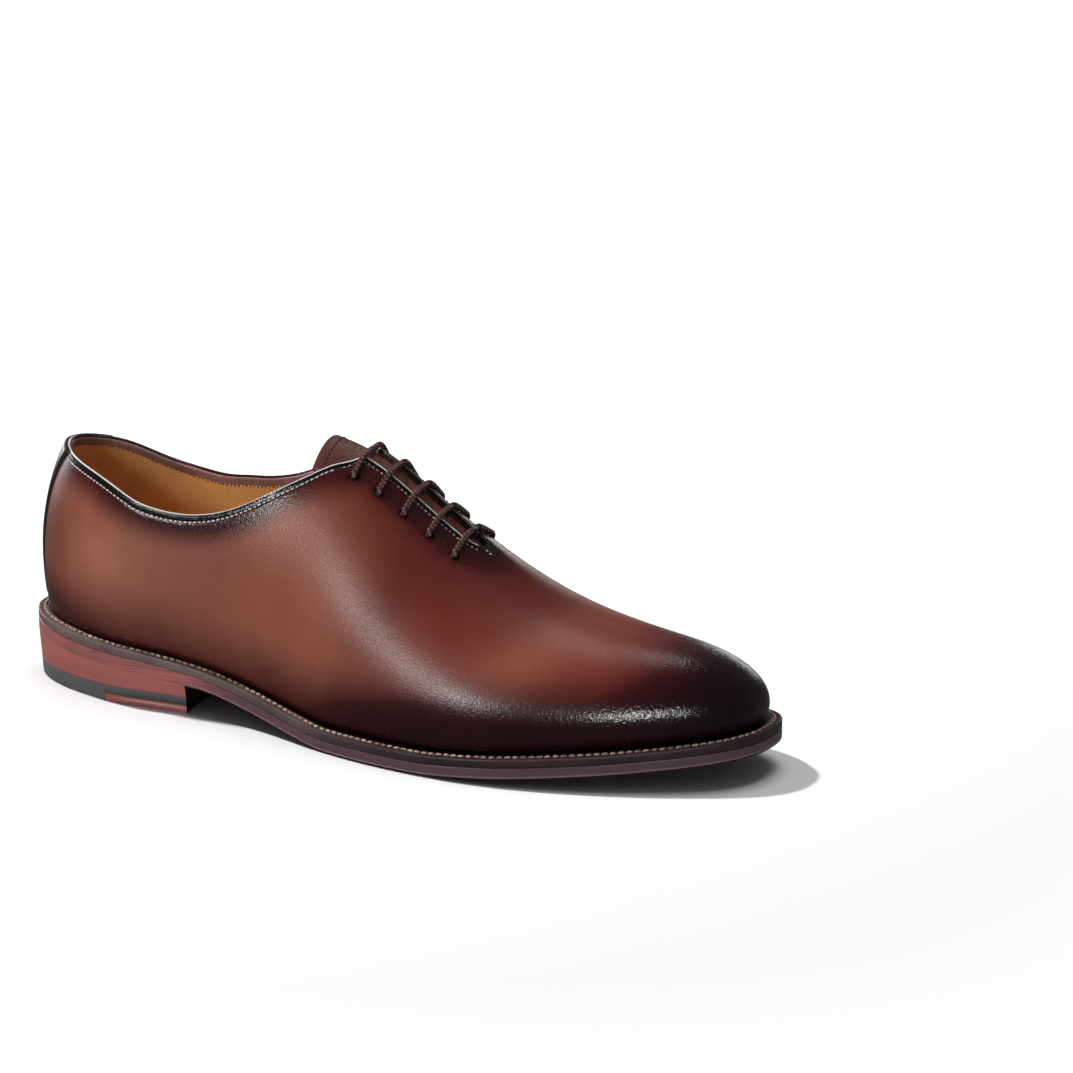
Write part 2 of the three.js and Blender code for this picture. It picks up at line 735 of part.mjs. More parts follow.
function eyeletPunch(pair, side) {
  const { loop, climb } = eyeletSpot(pair, side);
  const length = UPPER_WALL + 2 * EYELET_BORE;
  const punch = new THREE.CylinderGeometry(EYELET_BORE / 2, EYELET_BORE / 2, length, PUNCH_SIDES);
  const turned = new THREE.Quaternion();
  turned.setFromUnitVectors(new THREE.Vector3(0, 1, 0), upperNormal(loop, climb));
  punch.applyQuaternion(turned);
  const centre = pushed(loop, climb, -UPPER_WALL / 2);
  punch.translate(centre.x, centre.y, centre.z);
  return manifoldOf(punch);
}

function addUpper() {
  let upper = manifoldOf(upperShell(UPPER_WALL));
  for (let pair = 0; pair < EYELET_PAIRS; pair++) {
    for (const side of [LATERAL, MEDIAL]) upper = upper.subtract(eyeletPunch(pair, side));
  }
  addPiece('upper', geometryFrom(upper), MATERIALS.upper);
}

// The strip over the back seam is cut between two larger forms of the upper. It tapers
// towards the welt.
function addBackStrip() {
  const top = ribEnd(0);
  const climbs = evenClimbs(0, 0, top, RIB_ROWS).slice(1);
  const halfTurns = climbs.map((climb, row) => {
    const half = mix(STRIP_FOOT_WIDTH, STRIP_TOP_WIDTH, row / (climbs.length - 1)) / 2;
    let turn = 0;
    while (upperPoint(turn, climb).y > -half) turn += TURN_STEP;
    return turn;
  });
  const outer = [];
  const inner = [];
  for (let k = 0; k <= STRIP_COLUMNS; k++) {
    const spots = climbs.map((climb, row) => {
      const loop = halfTurns[row] * ((2 * k) / STRIP_COLUMNS - 1);
      return { loop, climb: (climb * ribEnd(loop)) / top };
    });
    outer.push(spots.map(({ loop, climb }) => pushed(loop, climb, STRIP_GAP + STRIP_THICKNESS)));
    inner.push(spots.map(({ loop, climb }) => pushed(loop, climb, STRIP_GAP)));
  }
  addPiece('back_strip', shellOf(outer, inner, false), MATERIALS.strip);
}

// Tongue and laces

function tongueStations() {
  const first = turnOfRidge(THROAT_TOP - TONGUE_RISE);
  const last = turnOfRidge(THROAT_END + TONGUE_TUCK);
  const between = Array.from({ length: SIDE_RIBS }, (unused, k) => k / SIDE_RIBS);
  const inside = between.filter((turn) => turn > first && turn < last);
  return [first, ...inside, last].map((turn) => ribRidge(turn) * SOLE_LENGTH);
}

function addTongue() {
  const outside = -(UPPER_WALL + TONGUE_GAP);
  const outer = [];
  const inner = [];
  for (const x of tongueStations()) {
    const spots = [];
    for (let k = 0; k <= TONGUE_ACROSS; k++) {
      const across = (2 * k) / TONGUE_ACROSS - 1;
      const side = across < 0 ? LATERAL : MEDIAL;
      spots.push(besideRidge(x, side, (Math.abs(across) * TONGUE_WIDTH) / 2));
    }
    outer.push(spots.map(({ loop, climb }) => pushed(loop, climb, outside)));
    inner.push(spots.map(({ loop, climb }) => pushed(loop, climb, outside - TONGUE_THICKNESS)));
  }
  const room = manifoldOf(upperShell(UPPER_WALL + SEAM_GAP));
  const tongue = manifoldOf(shellOf(outer, inner, false)).subtract(room);
  addPiece('tongue', geometryFrom(tongue), MATERIALS.tongue);
}

// A bar rises out of one eyelet, crosses the throat and goes down into the other
function addLaceBar(pair) {
  const radius = LACE_DIAMETER / 2;
  const ride = radius + LACE_REST;
  const path = [
    { inset: 0, lift: LACE_REST - UPPER_WALL },
    { inset: 0, lift: SEAM_GAP },
    { inset: radius, lift: ride },
    { inset: 3 * radius, lift: ride },
    { inset: EYELET_INSET, lift: ride },
  ];
  const half = (side) =>
    path.map(({ inset, lift }) => {
      const { loop, climb } = besideRidge(eyeletX(pair), side, eyeletReach(pair, side) - inset);
      return pushed(loop, climb, lift);
    });
  const crown = pushed(turnOfRidge(eyeletX(pair)), 1, ride);
  const points = [...half(LATERAL), crown, ...half(MEDIAL).reverse()];
  const route = new THREE.CatmullRomCurve3(points, false, 'centripetal');
  const section = new THREE.Shape();
  section.absarc(0, 0, radius, 0, 2 * Math.PI);
  const settings = { steps: CORD_STEPS, curveSegments: CORD_SIDES / 2, extrudePath: route };
  addPiece(`lace_bar_${pair + 1}`, new THREE.ExtrudeGeometry(section, settings), MATERIALS.lace);
}

addOutsole();
addWelt();
addInsole();
addHeelStack();
addTopPiece();
addUpper();
addBackStrip();
addTongue();
for (let pair = 0; pair < EYELET_PAIRS; pair++) addLaceBar(pair);

const box = new THREE.Box3().setFromObject(shoe);
const middle = box.getCenter(new THREE.Vector3());
shoe.position.set(-middle.x, -middle.y, -box.min.z);

export default shoe;
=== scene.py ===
"""A right dress shoe in polished brown leather, dressed round its CAD frame.

Design sizes are millimetres, with X from the sole's rearmost point to the toe, Y to the inner
side of the foot and Z up from the floor. place() turns them into the frame's metres.
"""

import math

import bpy
import numpy as np
from mathutils import Matrix, Vector

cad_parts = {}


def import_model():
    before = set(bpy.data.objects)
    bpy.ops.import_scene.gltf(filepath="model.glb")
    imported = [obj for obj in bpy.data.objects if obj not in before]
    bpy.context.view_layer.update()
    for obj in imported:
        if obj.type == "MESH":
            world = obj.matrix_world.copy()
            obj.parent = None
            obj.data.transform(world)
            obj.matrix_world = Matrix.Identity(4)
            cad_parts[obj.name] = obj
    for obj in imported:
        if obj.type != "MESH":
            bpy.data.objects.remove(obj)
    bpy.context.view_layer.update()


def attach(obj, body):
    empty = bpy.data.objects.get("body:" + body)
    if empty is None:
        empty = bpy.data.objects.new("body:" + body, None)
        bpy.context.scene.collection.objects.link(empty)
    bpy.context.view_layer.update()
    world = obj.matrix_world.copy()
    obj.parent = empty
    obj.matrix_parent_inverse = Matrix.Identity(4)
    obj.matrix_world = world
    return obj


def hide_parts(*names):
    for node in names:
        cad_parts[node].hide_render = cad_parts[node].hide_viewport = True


# Sole
SOLE_LENGTH = 306
BALL_WIDTH = 101
SEAT_WIDTH = 66
TOE_SWING = 9.9
OUTSOLE_THICKNESS = 4.6
WELT_THICKNESS = 3.0
WELT_MARGIN_HEEL = 4.3
WELT_MARGIN_BALL = 6.0
WELT_WIDTH = 16
TOE_SPRING = 10.8

# Heel
HEEL_HEIGHT = 18.2
HEEL_LENGTH = 84
BREAST_HOLLOW = 4
HEEL_TAPER = 1.2
TOP_PIECE_THICKNESS = 6.4
TOP_INSERT_THICKNESS = 3.1
TOP_INSERT_LENGTH = 36

# Upper
INSTEP_HEIGHT = 98.5
BACK_HEIGHT = 92.3
COLLAR_DIP = 19.5
COLLAR_START = 14
THROAT_TOP = 144
THROAT_END = 193
THROAT_GAPE = 10
THROAT_WIDTH = 8
THROAT_SHIFT = 3
UPPER_WALL = 2.0
BULGE = 3.4
STRIP_TOP_WIDTH = 27
STRIP_FOOT_WIDTH = 12
STRIP_GAP = 0.15
STRIP_THICKNESS = 1.1

# Lacing, tongue and insole
EYELET_PAIRS = 5
EYELET_BORE = 3.4
EYELET_INSET = 11
FIRST_EYELET = 144
LAST_EYELET = 185
LACE_DIAMETER = 2.1
TONGUE_THICKNESS = 1.6
TONGUE_GAP = 0.6
TONGUE_WIDTH = 46
TONGUE_RISE = 16
TONGUE_TUCK = 8
INSOLE_THICKNESS = 3.2
INSOLE_CLEARANCE = 1.0
SEAM_GAP = 0.3

# Details that only the dressed model has
LEATHER = 1.5
LINING = 0.45
BAND_HEIGHT = 4.2
RIM_BLACK = 2.5
RIM_STITCH = 2.9
STITCH_PITCH = 2.0
WELT_STITCH_PITCH = 2.9
WELT_STITCH_INSET = 2.6
EYELET_HOLE = 2.7
# How far the painted shade round each eyelet hole reaches
EYELET_SHADE_REACH = 2.3

# How fine the meshes are
SIDE_RIBS = 210
SOLE_STEPS = 150
EDGE_STEPS = 8

LATERAL = -1
MEDIAL = 1

# Camera: the photograph's, in the design sizes
CAMERA_AZIMUTH = 28.076
CAMERA_ELEVATION = 15.643
CAMERA_ROLL = 0.132
CAMERA_DISTANCE = 1348.7
CAMERA_TARGET = (215.24, 0.0, 78.68)
CAMERA_LENS = 126.0

# along, lateral, medial: half widths as shares of the local width
OUTLINE = (
    (0.0, 0.512, 0.487),
    (0.12, 0.513, 0.490),
    (0.21, 0.506, 0.465),
    (0.3, 0.430, 0.362),
    (0.38, 0.402, 0.290),
    (0.46, 0.430, 0.305),
    (0.54, 0.480, 0.385),
    (0.62, 0.509, 0.465),
    (0.68, 0.512, 0.490),
    (0.76, 0.480, 0.466),
    (0.83, 0.422, 0.400),
    (0.88, 0.378, 0.354),
    (0.94, 0.345, 0.325),
    (1.0, 0.345, 0.325),
)
SEAT_END = 0.2
BALL_START = 0.5
HEEL_ROUND = (0.2, 2)
TOE_ROUND = (0.18, 2.3)

# along, share of the heel height, share of the toe spring
UNDERSIDE = (
    (0.0, 1.0, 0),
    (0.1, 0.875, 0),
    (0.2, 0.755, 0),
    (0.3, 0.55, 0),
    (0.38, 0.3, 0),
    (0.45, 0.09, 0),
    (0.5, 0, 0),
    (0.62, 0, 0),
    (0.7, 0, 0.12),
    (0.8, 0, 0.37),
    (0.9, 0, 0.66),
    (1.0, 0, 1.0),
)

# along, height as a share of the instep height, shift as a share of the toe swing
RIDGE = (
    (0.12, 1.15, 0),
    (0.26, 1.18, 0),
    (0.36, 1.14, 0.3),
    (0.42, 1.09, 0.6),
    (0.47, 1.038, 0.76),
    (0.51, 0.97, 0.8),
    (0.56, 0.862, 0.8),
    (0.61, 0.757, 0.8),
    (0.66, 0.655, 0.8),
    (0.71, 0.565, 0.84),
    (0.76, 0.507, 0.9),
    (0.8, 0.477, 0.95),
)

# turn, ridge, crown, wall, lateral, medial
RIBS = (
    (0.0, 0.15, 2.3, 2.4, 0.5, 0.5),
    (0.1, 0.165, 2.35, 2.5, 0.5, 0.5),
    (0.2, 0.2, 2.5, 2.8, 0.6, 0.6),
    (0.3, 0.26, 2.6, 2.9, 0.8, 0.6),
    (0.4, 0.36, 2.1, 2.6, 0.9, 0.5),
    (0.5, 0.495, 1.75, 2.1, 1.0, 0.7),
    (0.6, 0.635, 1.65, 2.1, 1.0, 0.9),
    (0.7, 0.715, 1.9, 2.2, 1.0, 1.0),
    (0.8, 0.755, 2.1, 2.4, 0.9, 0.9),
    (0.9, 0.775, 2.3, 2.5, 0.7, 0.7),
    (1.0, 0.782, 2.4, 2.6, 0.6, 0.6),
)

# way, lateral, medial: shares of the collar's dip
COLLAR = (
    (0.0, 0.0, 0.0),
    (0.1, 0.2, 0.22),
    (0.2, 0.375, 0.55),
    (0.3, 0.62, 0.76),
    (0.37, 0.825, 0.84),
    (0.44, 0.945, 0.86),
    (0.51, 1.0, 0.82),
    (0.57, 0.99, 0.79),
    (0.64, 0.91, 0.72),
    (0.71, 0.75, 0.6),
    (0.8, 0.46, 0.36),
    (0.89, 0.17, 0.09),
    (0.95, 0.0, -0.05),
    (1.0, -0.08, -0.1),
    (1.05, -0.4, -0.42),
)


# Curves through the tables


def mix(a, b, share):
    return a + (b - a) * share


def ease(start, end, value):
    share = np.clip((value - start) / (end - start), 0, 1)
    return share * share * (3 - 2 * share)


def spline_of(rows, column):
    """A natural cubic spline through one column of a table."""
    x = np.array([row[0] for row in rows], float)
    y = np.array([row[column] for row in rows], float)
    n = len(x)
    gap = np.diff(x)
    system = np.eye(n)
    wanted = np.zeros(n)
    for i in range(1, n - 1):
        system[i, i - 1 : i + 2] = gap[i - 1], 2 * (gap[i - 1] + gap[i]), gap[i]
        wanted[i] = 6 * ((y[i + 1] - y[i]) / gap[i] - (y[i] - y[i - 1]) / gap[i - 1])
    curve = np.linalg.solve(system, wanted)

    def at(place):
        k = np.clip(np.searchsorted(x, place) - 1, 0, n - 2)
        h = gap[k]
        left = x[k + 1] - place
        right = place - x[k]
        cubic = (curve[k] * left**3 + curve[k + 1] * right**3) / (6 * h)
        straight = (y[k] / h - curve[k] * h / 6) * left
        return cubic + straight + (y[k + 1] / h - curve[k + 1] * h / 6) * right

    return at


def level_curve_of(rows, column):
    """A curve through one column that never overshoots, so level rows stay level."""
    x = np.array([row[0] for row in rows], float)
    y = np.array([row[column] for row in rows], float)
    rise = np.diff(y) / np.diff(x)
    slope = np.zeros(len(x))
    slope[0] = rise[0]
    slope[-1] = rise[-1]
    for i in range(1, len(x) - 1):
        if rise[i - 1] * rise[i] > 0:
            slope[i] = 2 * rise[i - 1] * rise[i] / (rise[i - 1] + rise[i])

    def at(place):
        k = np.clip(np.searchsorted(x, place) - 1, 0, len(x) - 2)
        h = x[k + 1] - x[k]
        t = np.clip((place - x[k]) / h, 0, 1)
        stay = (1 + 2 * t) * (1 - t) ** 2 * y[k] + t * t * (3 - 2 * t) * y[k + 1]
        return stay + h * t * (1 - t) * ((1 - t) * slope[k] - t * slope[k + 1])

    return at


outline_lateral = spline_of(OUTLINE, 1)
outline_medial = spline_of(OUTLINE, 2)
underside_heel = level_curve_of(UNDERSIDE, 1)
underside_toe = level_curve_of(UNDERSIDE, 2)
ridge_height = spline_of(RIDGE, 1)
ridge_swing = spline_of(RIDGE, 2)
rib_ridge = spline_of(RIBS, 1)
rib_crown = spline_of(RIBS, 2)
rib_wall = spline_of(RIBS, 3)
bulge_lateral = spline_of(RIBS, 4)
bulge_medial = spline_of(RIBS, 5)
dip_lateral = spline_of(COLLAR, 1)
dip_medial = spline_of(COLLAR, 2)


# The sole's outline and levels


def round_end(distance, end):
    reach, power = end
    inner = np.clip(1 - np.clip(1 - distance / reach, 0, 1) ** power, 0, 1)
    return inner ** (1 / power)


def half_width(along, side):
    width = mix(SEAT_WIDTH, BALL_WIDTH, ease(SEAT_END, BALL_START, along))
    share = np.where(side < 0, outline_lateral(along), outline_medial(along))
    return width * share * round_end(along, HEEL_ROUND) * round_end(1 - along, TOE_ROUND)


def side_of_loop(loop):
    wrapped = np.mod(loop, 2.0)
    lateral = wrapped <= 1
    return np.where(lateral, wrapped, 2 - wrapped), np.where(lateral, LATERAL, MEDIAL)


def edge_point(loop):
    turn, side = side_of_loop(np.asarray(loop, float))
    along = (1 - np.cos(math.pi * turn)) / 2
    centre = TOE_SWING * np.clip((along - 0.5) / 0.5, 0, 1) ** 2
    return np.stack([along * SOLE_LENGTH, centre + side * half_width(along, side)], -1)


def outward_at(loop):
    step = 0.004
    ahead = edge_point(loop + step) - edge_point(loop - step)
    ahead /= np.linalg.norm(ahead, axis=-1, keepdims=True)
    return np.stack([ahead[..., 1], -ahead[..., 0]], -1)


def inset_point(loop, margin):
    return edge_point(loop) - outward_at(loop) * np.asarray(margin)[..., None]


def underside(x):
    along = np.clip(x / SOLE_LENGTH, 0, 1)
    return HEEL_HEIGHT * underside_heel(along) + TOE_SPRING * underside_toe(along)


def welt_top(x):
    return underside(x) + OUTSOLE_THICKNESS + SEAM_GAP + WELT_THICKNESS


def welt_margin(x):
    return mix(WELT_MARGIN_HEEL, WELT_MARGIN_BALL, ease(0.3, 0.55, x / SOLE_LENGTH))


# The upper's outer surface


def feather_point(loop):
    plan = inset_point(loop, welt_margin(edge_point(loop)[..., 0]))
    return np.concatenate([plan, (welt_top(plan[..., 0]) + SEAM_GAP)[..., None]], -1)


def ridge_point(along):
    return np.stack([along * SOLE_LENGTH, TOE_SWING * ridge_swing(along), INSTEP_HEIGHT * ridge_height(along)], -1)


def ridge_slope(along):
    ahead = ridge_point(along + 0.005)
    behind = ridge_point(along - 0.005)
    return (ahead[..., 2] - behind[..., 2]) / (ahead[..., 0] - behind[..., 0])


def upper_point(loop, climb):
    """The closed last's surface. climb runs from 0 at the welt to 1 on the ridge."""
    loop, climb = np.broadcast_arrays(np.asarray(loop, float), np.asarray(climb, float))
    turn, side = side_of_loop(loop)
    foot = feather_point(loop)
    along = rib_ridge(turn)
    top = ridge_point(along)
    angle = climb * math.pi / 2
    inward = 1 - np.clip(np.cos(angle), 0, 1) ** (2 / rib_crown(turn))
    upward = np.clip(np.sin(angle), 0, 1) ** (2 / rib_wall(turn))
    share = np.where(side < 0, bulge_lateral(turn), bulge_medial(turn))
    swell = BULGE * share * 6.75 * upward * (1 - upward) ** 2
    outward = outward_at(loop)
    x = mix(foot[..., 0], top[..., 0], inward) + outward[..., 0] * swell
    y = mix(foot[..., 1], top[..., 1], inward) + outward[..., 1] * swell
    fall = ridge_slope(along) * (x - top[..., 0]) * inward**2
    return np.stack([x, y, mix(foot[..., 2], top[..., 2], upward) + fall], -1)


def upper_normal(loop, climb):
    loop, climb = np.broadcast_arrays(np.asarray(loop, float), np.asarray(climb, float))
    step = 0.002
    middle = np.clip(climb, 2 * step, 0.998)
    around = upper_point(loop + step, middle) - upper_point(loop - step, middle)
    up = upper_point(loop, middle + step) - upper_point(loop, middle - step)
    normal = np.cross(around, up)
    normal /= np.linalg.norm(normal, axis=-1, keepdims=True)
    slope = ridge_slope(rib_ridge(side_of_loop(loop)[0]))
    crest = np.stack([-slope, 0 * slope, 1 + 0 * slope], -1)
    crest /= np.linalg.norm(crest, axis=-1, keepdims=True)
    blend = ease(0.985, 0.998, climb)[..., None]
    mixed = mix(normal, crest, blend)
    return mixed / np.linalg.norm(mixed, axis=-1, keepdims=True)


def half_gape(x):
    share = (THROAT_END - x) / (THROAT_END - THROAT_TOP)
    return mix(THROAT_WIDTH, THROAT_GAPE, np.clip(share, 0, 1)) / 2


def opening_at(point, side):
    """Above nought inside the opening of the collar and the throat."""
    x, y, z = point[..., 0], point[..., 1], point[..., 2]
    way = (x - COLLAR_START) / (THROAT_TOP - COLLAR_START)
    capped = np.minimum(way, 1.05)
    dip = np.where(side < 0, dip_lateral(capped), dip_medial(capped))
    above = np.where(way < 1.05, z - (mix(BACK_HEIGHT, INSTEP_HEIGHT, way) - COLLAR_DIP * dip), -1)
    to_middle = np.abs(y - TOE_SWING * ridge_swing(x / SOLE_LENGTH) + THROAT_SHIFT)
    closing = np.clip((THROAT_END - x) / THROAT_WIDTH, 0, 1)
    slit = half_gape(x) * np.sqrt(closing) - to_middle
    beside = (x > THROAT_TOP - THROAT_WIDTH) & (x < THROAT_END)
    return np.maximum(above, np.where(beside, slit, -1))


def rib_ends(loops):
    """Where each rib ends: at the collar, at the throat, or on the ridge."""
    steps = 60
    climbs = np.linspace(0, 1, steps + 1)
    side = side_of_loop(loops)[1]
    inside = opening_at(upper_point(loops[:, None], climbs[None, :]), side[:, None]) > 0
    found = inside[:, 1:].any(1)
    first = inside[:, 1:].argmax(1)
    low, high = climbs[first], climbs[first + 1]
    for _ in range(20):
        middle = (low + high) / 2
        over = opening_at(upper_point(loops, middle), side) > 0
        low, high = np.where(over, low, middle), np.where(over, middle, high)
    return np.where(found, low, 1.0)


def climbs_at(loop, end, distances):
    """Climbs on one rib at distances along the leather, measured down from its upper end."""
    fine = np.linspace(0, end, 160)
    points = upper_point(loop, fine)
    lengths = np.concatenate([[0], np.cumsum(np.linalg.norm(np.diff(points, axis=0), axis=-1))])
    return np.interp(lengths[-1] - distances(lengths[-1]), lengths, fine)


def pushed(loop, climb, distance):
    return upper_point(loop, climb) + upper_normal(loop, climb) * np.asarray(distance)[..., None]


def turn_of_ridge(x):
    turns = np.linspace(0, 1, 2001)
    return np.interp(x / SOLE_LENGTH, rib_ridge(turns), turns)


def beside_ridge(x, side, distance):
    """The loop and climb that lie so far down from the ridge, measured straight."""
    loop = (-side * turn_of_ridge(x)) % 2
    climbs = np.linspace(0, 1, 1601)
    points = upper_point(loop, climbs)
    away = np.linalg.norm(points - points[-1], axis=-1)
    last = np.nonzero(away > distance)[0]
    return loop, climbs[last[-1]] if len(last) else 1.0


# Meshes

outline_y = edge_point(np.linspace(0, 2, 2001))[:, 1]
MIDDLE_Y = (outline_y.min() + outline_y.max()) / 2


def place(points):
    """Design millimetres to the frame's metres."""
    return (np.asarray(points, float) - (SOLE_LENGTH / 2, MIDDLE_Y, 0)) / 1000


def piece(name, points, faces, material, smooth=True):
    mesh = bpy.data.meshes.new(name)
    mesh.from_pydata(place(points).tolist(), [], faces)
    mesh.validate()
    mesh.polygons.foreach_set("use_smooth", [smooth] * len(mesh.polygons))
    thing = bpy.data.objects.new(name, mesh)
    bpy.context.scene.collection.objects.link(thing)
    mesh.materials.append(material)
    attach(thing, "root")
    return thing


def give(thing, name, values):
    layer = thing.data.attributes.new(name, "FLOAT", "POINT")
    layer.data.foreach_set("value", np.asarray(values, np.float32))


def grid_faces(columns, rows, wraps, offset=0, flip=False):
    faces = []
    for i in range(columns if wraps else columns - 1):
        here = offset + i * rows
        follower = offset + ((i + 1) % columns) * rows
        for j in range(rows - 1):
            face = (here + j, follower + j, follower + j + 1, here + j + 1)
            faces.append(face[::-1] if flip else face)
    return faces


def design_points(thing):
    """A piece's vertices in design millimetres."""
    flat = np.empty(3 * len(thing.data.vertices))
    thing.data.vertices.foreach_get("co", flat)
    return flat.reshape(-1, 3) * 1000 + (SOLE_LENGTH / 2, MIDDLE_Y, 0)


def sheet_between(name, outer, inner, material, wraps=False):
    """A closed sheet between two grids of points, columns by rows."""
    columns, rows = outer.shape[:2]
    count = columns * rows
    points = np.concatenate([outer.reshape(-1, 3), inner.reshape(-1, 3)])
    faces = grid_faces(columns, rows, wraps) + grid_faces(columns, rows, wraps, count, True)
    last = (columns - 1) * rows
    for i in range(columns if wraps else columns - 1):
        here = i * rows
        follower = ((i + 1) % columns) * rows
        faces.append((here, count + here, count + follower, follower))
        top = rows - 1
        faces.append((here + top, follower + top, count + follower + top, count + here + top))
    if not wraps:
        for j in range(rows - 1):
            faces.append((j, j + 1, count + j + 1, count + j))
            faces.append((last + j, count + last + j, count + last + j + 1, last + j + 1))
    return piece(name, points, faces, material)


def frames_along(path):
    """Tangents and two cross directions that turn as little as they can."""
    tangent = np.gradient(path, axis=0)
    tangent /= np.linalg.norm(tangent, axis=1, keepdims=True)
    first = np.cross(tangent[0], (0.0, 0.0, 1.0))
    if np.linalg.norm(first) < 0.1:
        first = np.cross(tangent[0], (0.0, 1.0, 0.0))
    across = [first / np.linalg.norm(first)]
    for i in range(1, len(path)):
        moved = across[-1] - tangent[i] * np.dot(across[-1], tangent[i])
        across.append(moved / np.linalg.norm(moved))
    across = np.array(across)
    return tangent, across, np.cross(tangent, across)


def tube(path, radius, sides):
    """Points and faces of a round tube whose radius may change along it."""
    _, across, up = frames_along(path)
    angles = np.linspace(0, 2 * math.pi, sides, endpoint=False)
    ring = np.cos(angles)[None, :, None] * across[:, None] + np.sin(angles)[None, :, None] * up[:, None]
    points = (path[:, None] + ring * np.asarray(radius)[..., None]).reshape(-1, 3)
    faces = []
    for i in range(len(path) - 1):
        for k in range(sides):
            after = (k + 1) % sides
            faces.append((i * sides + k, i * sides + after, (i + 1) * sides + after, (i + 1) * sides + k))
    faces.append(tuple(range(sides))[::-1])
    faces.append(tuple((len(path) - 1) * sides + k for k in range(sides)))
    return points, faces


class Heap:
    """Many small meshes in one."""

    def __init__(self):
        self.points = []
        self.faces = []
        self.count = 0

    def add(self, points, faces):
        self.points.append(points)
        self.faces += [tuple(self.count + i for i in face) for face in faces]
        self.count += len(points)

    def make(self, name, material, slot):
        return piece(name, np.concatenate(self.points), self.faces, material)


def spaced(path, pitch, offset=0.0):
    """Lengths along a path at an even pitch."""
    lengths = np.concatenate([[0], np.cumsum(np.linalg.norm(np.diff(path, axis=0), axis=1))])
    count = max(2, int(round((lengths[-1] - offset) / pitch)))
    return lengths, offset + (np.arange(count) + 0.5) * (lengths[-1] - offset) / count


def along_path(path, lengths, where):
    return np.stack([np.interp(where, lengths, path[:, k]) for k in range(path.shape[1])], -1)


def stitch_row(heap, path, normals, pitch, length, radius, sink):
    """Short rounded stitches along a path, each dipping into the leather at its ends."""
    lengths, centres = spaced(path, pitch)
    share = np.linspace(-1, 1, 7)
    for centre in centres:
        spots = centre + share * length / 2
        line = along_path(path, lengths, spots)
        up = along_path(normals, lengths, spots)
        lift = (1 - share**4) * sink - sink * 0.4
        thick = radius * np.sqrt(np.clip(1 - (share * 0.96) ** 6, 0.02, 1))
        heap.add(*tube(line + up * lift[:, None], thick[:, None], 6))


# Materials


class Recipe:
    """A node material whose surface is one Principled shader."""

    def __init__(self, name, roughness, coat=0.0, coat_roughness=0.1, sheen=0.0, specular=0.5):
        self.material = bpy.data.materials.new(name)
        self.material.use_nodes = True
        self.tree = self.material.node_tree
        self.shader = next(n for n in self.tree.nodes if n.type == "BSDF_PRINCIPLED")
        self.shader.inputs["Roughness"].default_value = roughness
        self.shader.inputs["Coat Weight"].default_value = coat
        self.shader.inputs["Coat Roughness"].default_value = coat_roughness
        self.shader.inputs["Sheen Weight"].default_value = sheen
        self.shader.inputs["Specular IOR Level"].default_value = specular
        self.place = self.node("ShaderNodeTexCoord").outputs["Object"]
        self.last_bump = None

    def node(self, kind, **settings):
        made = self.tree.nodes.new(kind)
        for key, value in settings.items():
            setattr(made, key, value)
        return made

    def feed(self, socket, value):
        if isinstance(value, bpy.types.NodeSocket):
            self.tree.links.new(value, socket)
        else:
            socket.default_value = value

    def noise(self, scale, detail=4.0, roughness=0.55, stretch=(1, 1, 1)):
        mapping = self.node("ShaderNodeMapping")
        self.feed(mapping.inputs["Vector"], self.place)
        mapping.inputs["Scale"].default_value = stretch
        texture = self.node("ShaderNodeTexNoise")
        self.feed(texture.inputs["Vector"], mapping.outputs["Vector"])
        texture.inputs["Scale"].default_value = scale
        texture.inputs["Detail"].default_value = detail
        texture.inputs["Roughness"].default_value = roughness
        return texture.outputs["Fac"]

    def cells(self, scale, feature="F1"):
        texture = self.node("ShaderNodeTexVoronoi", feature=feature)
        self.feed(texture.inputs["Vector"], self.place)
        texture.inputs["Scale"].default_value = scale
        return texture.outputs["Distance"]

    def value(self, name):
        return self.node("ShaderNodeAttribute", attribute_name=name).outputs["Fac"]

    def math(self, operation, a, b=0.0, c=0.0):
        made = self.node("ShaderNodeMath", operation=operation)
        for socket, value in zip(made.inputs, (a, b, c)):
            self.feed(socket, value)
        return made.outputs[0]

    def spread(self, value, low, high, to_low=0.0, to_high=1.0):
        made = self.node("ShaderNodeMapRange", clamp=True)
        for name, entry in (("Value", value), ("From Min", low), ("From Max", high), ("To Min", to_low), ("To Max", to_high)):
            self.feed(made.inputs[name], entry)
        return made.outputs["Result"]

    def blend(self, share, a, b, mode="MIX"):
        made = self.node("ShaderNodeMix", data_type="RGBA", blend_type=mode)
        self.feed(made.inputs["Factor"], share)
        self.feed(made.inputs["A"], a)
        self.feed(made.inputs["B"], b)
        return made.outputs["Result"]

    def bump(self, height, strength, distance):
        made = self.node("ShaderNodeBump")
        made.inputs["Strength"].default_value = strength
        made.inputs["Distance"].default_value = distance
        self.feed(made.inputs["Height"], height)
        if self.last_bump is not None:
            self.feed(made.inputs["Normal"], self.last_bump)
        self.last_bump = made.outputs["Normal"]
        self.feed(self.shader.inputs["Normal"], self.last_bump)

    def colour(self, value):
        self.feed(self.shader.inputs["Base Color"], value)

    def rough(self, value):
        self.feed(self.shader.inputs["Roughness"], value)


def rgb(code):
    """A colour from its written sRGB code, in linear light."""
    parts = [int(code[i : i + 2], 16) / 255 for i in (0, 2, 4)]
    return tuple(p / 12.92 if p <= 0.04045 else ((p + 0.055) / 1.055) ** 2.4 for p in parts) + (1.0,)


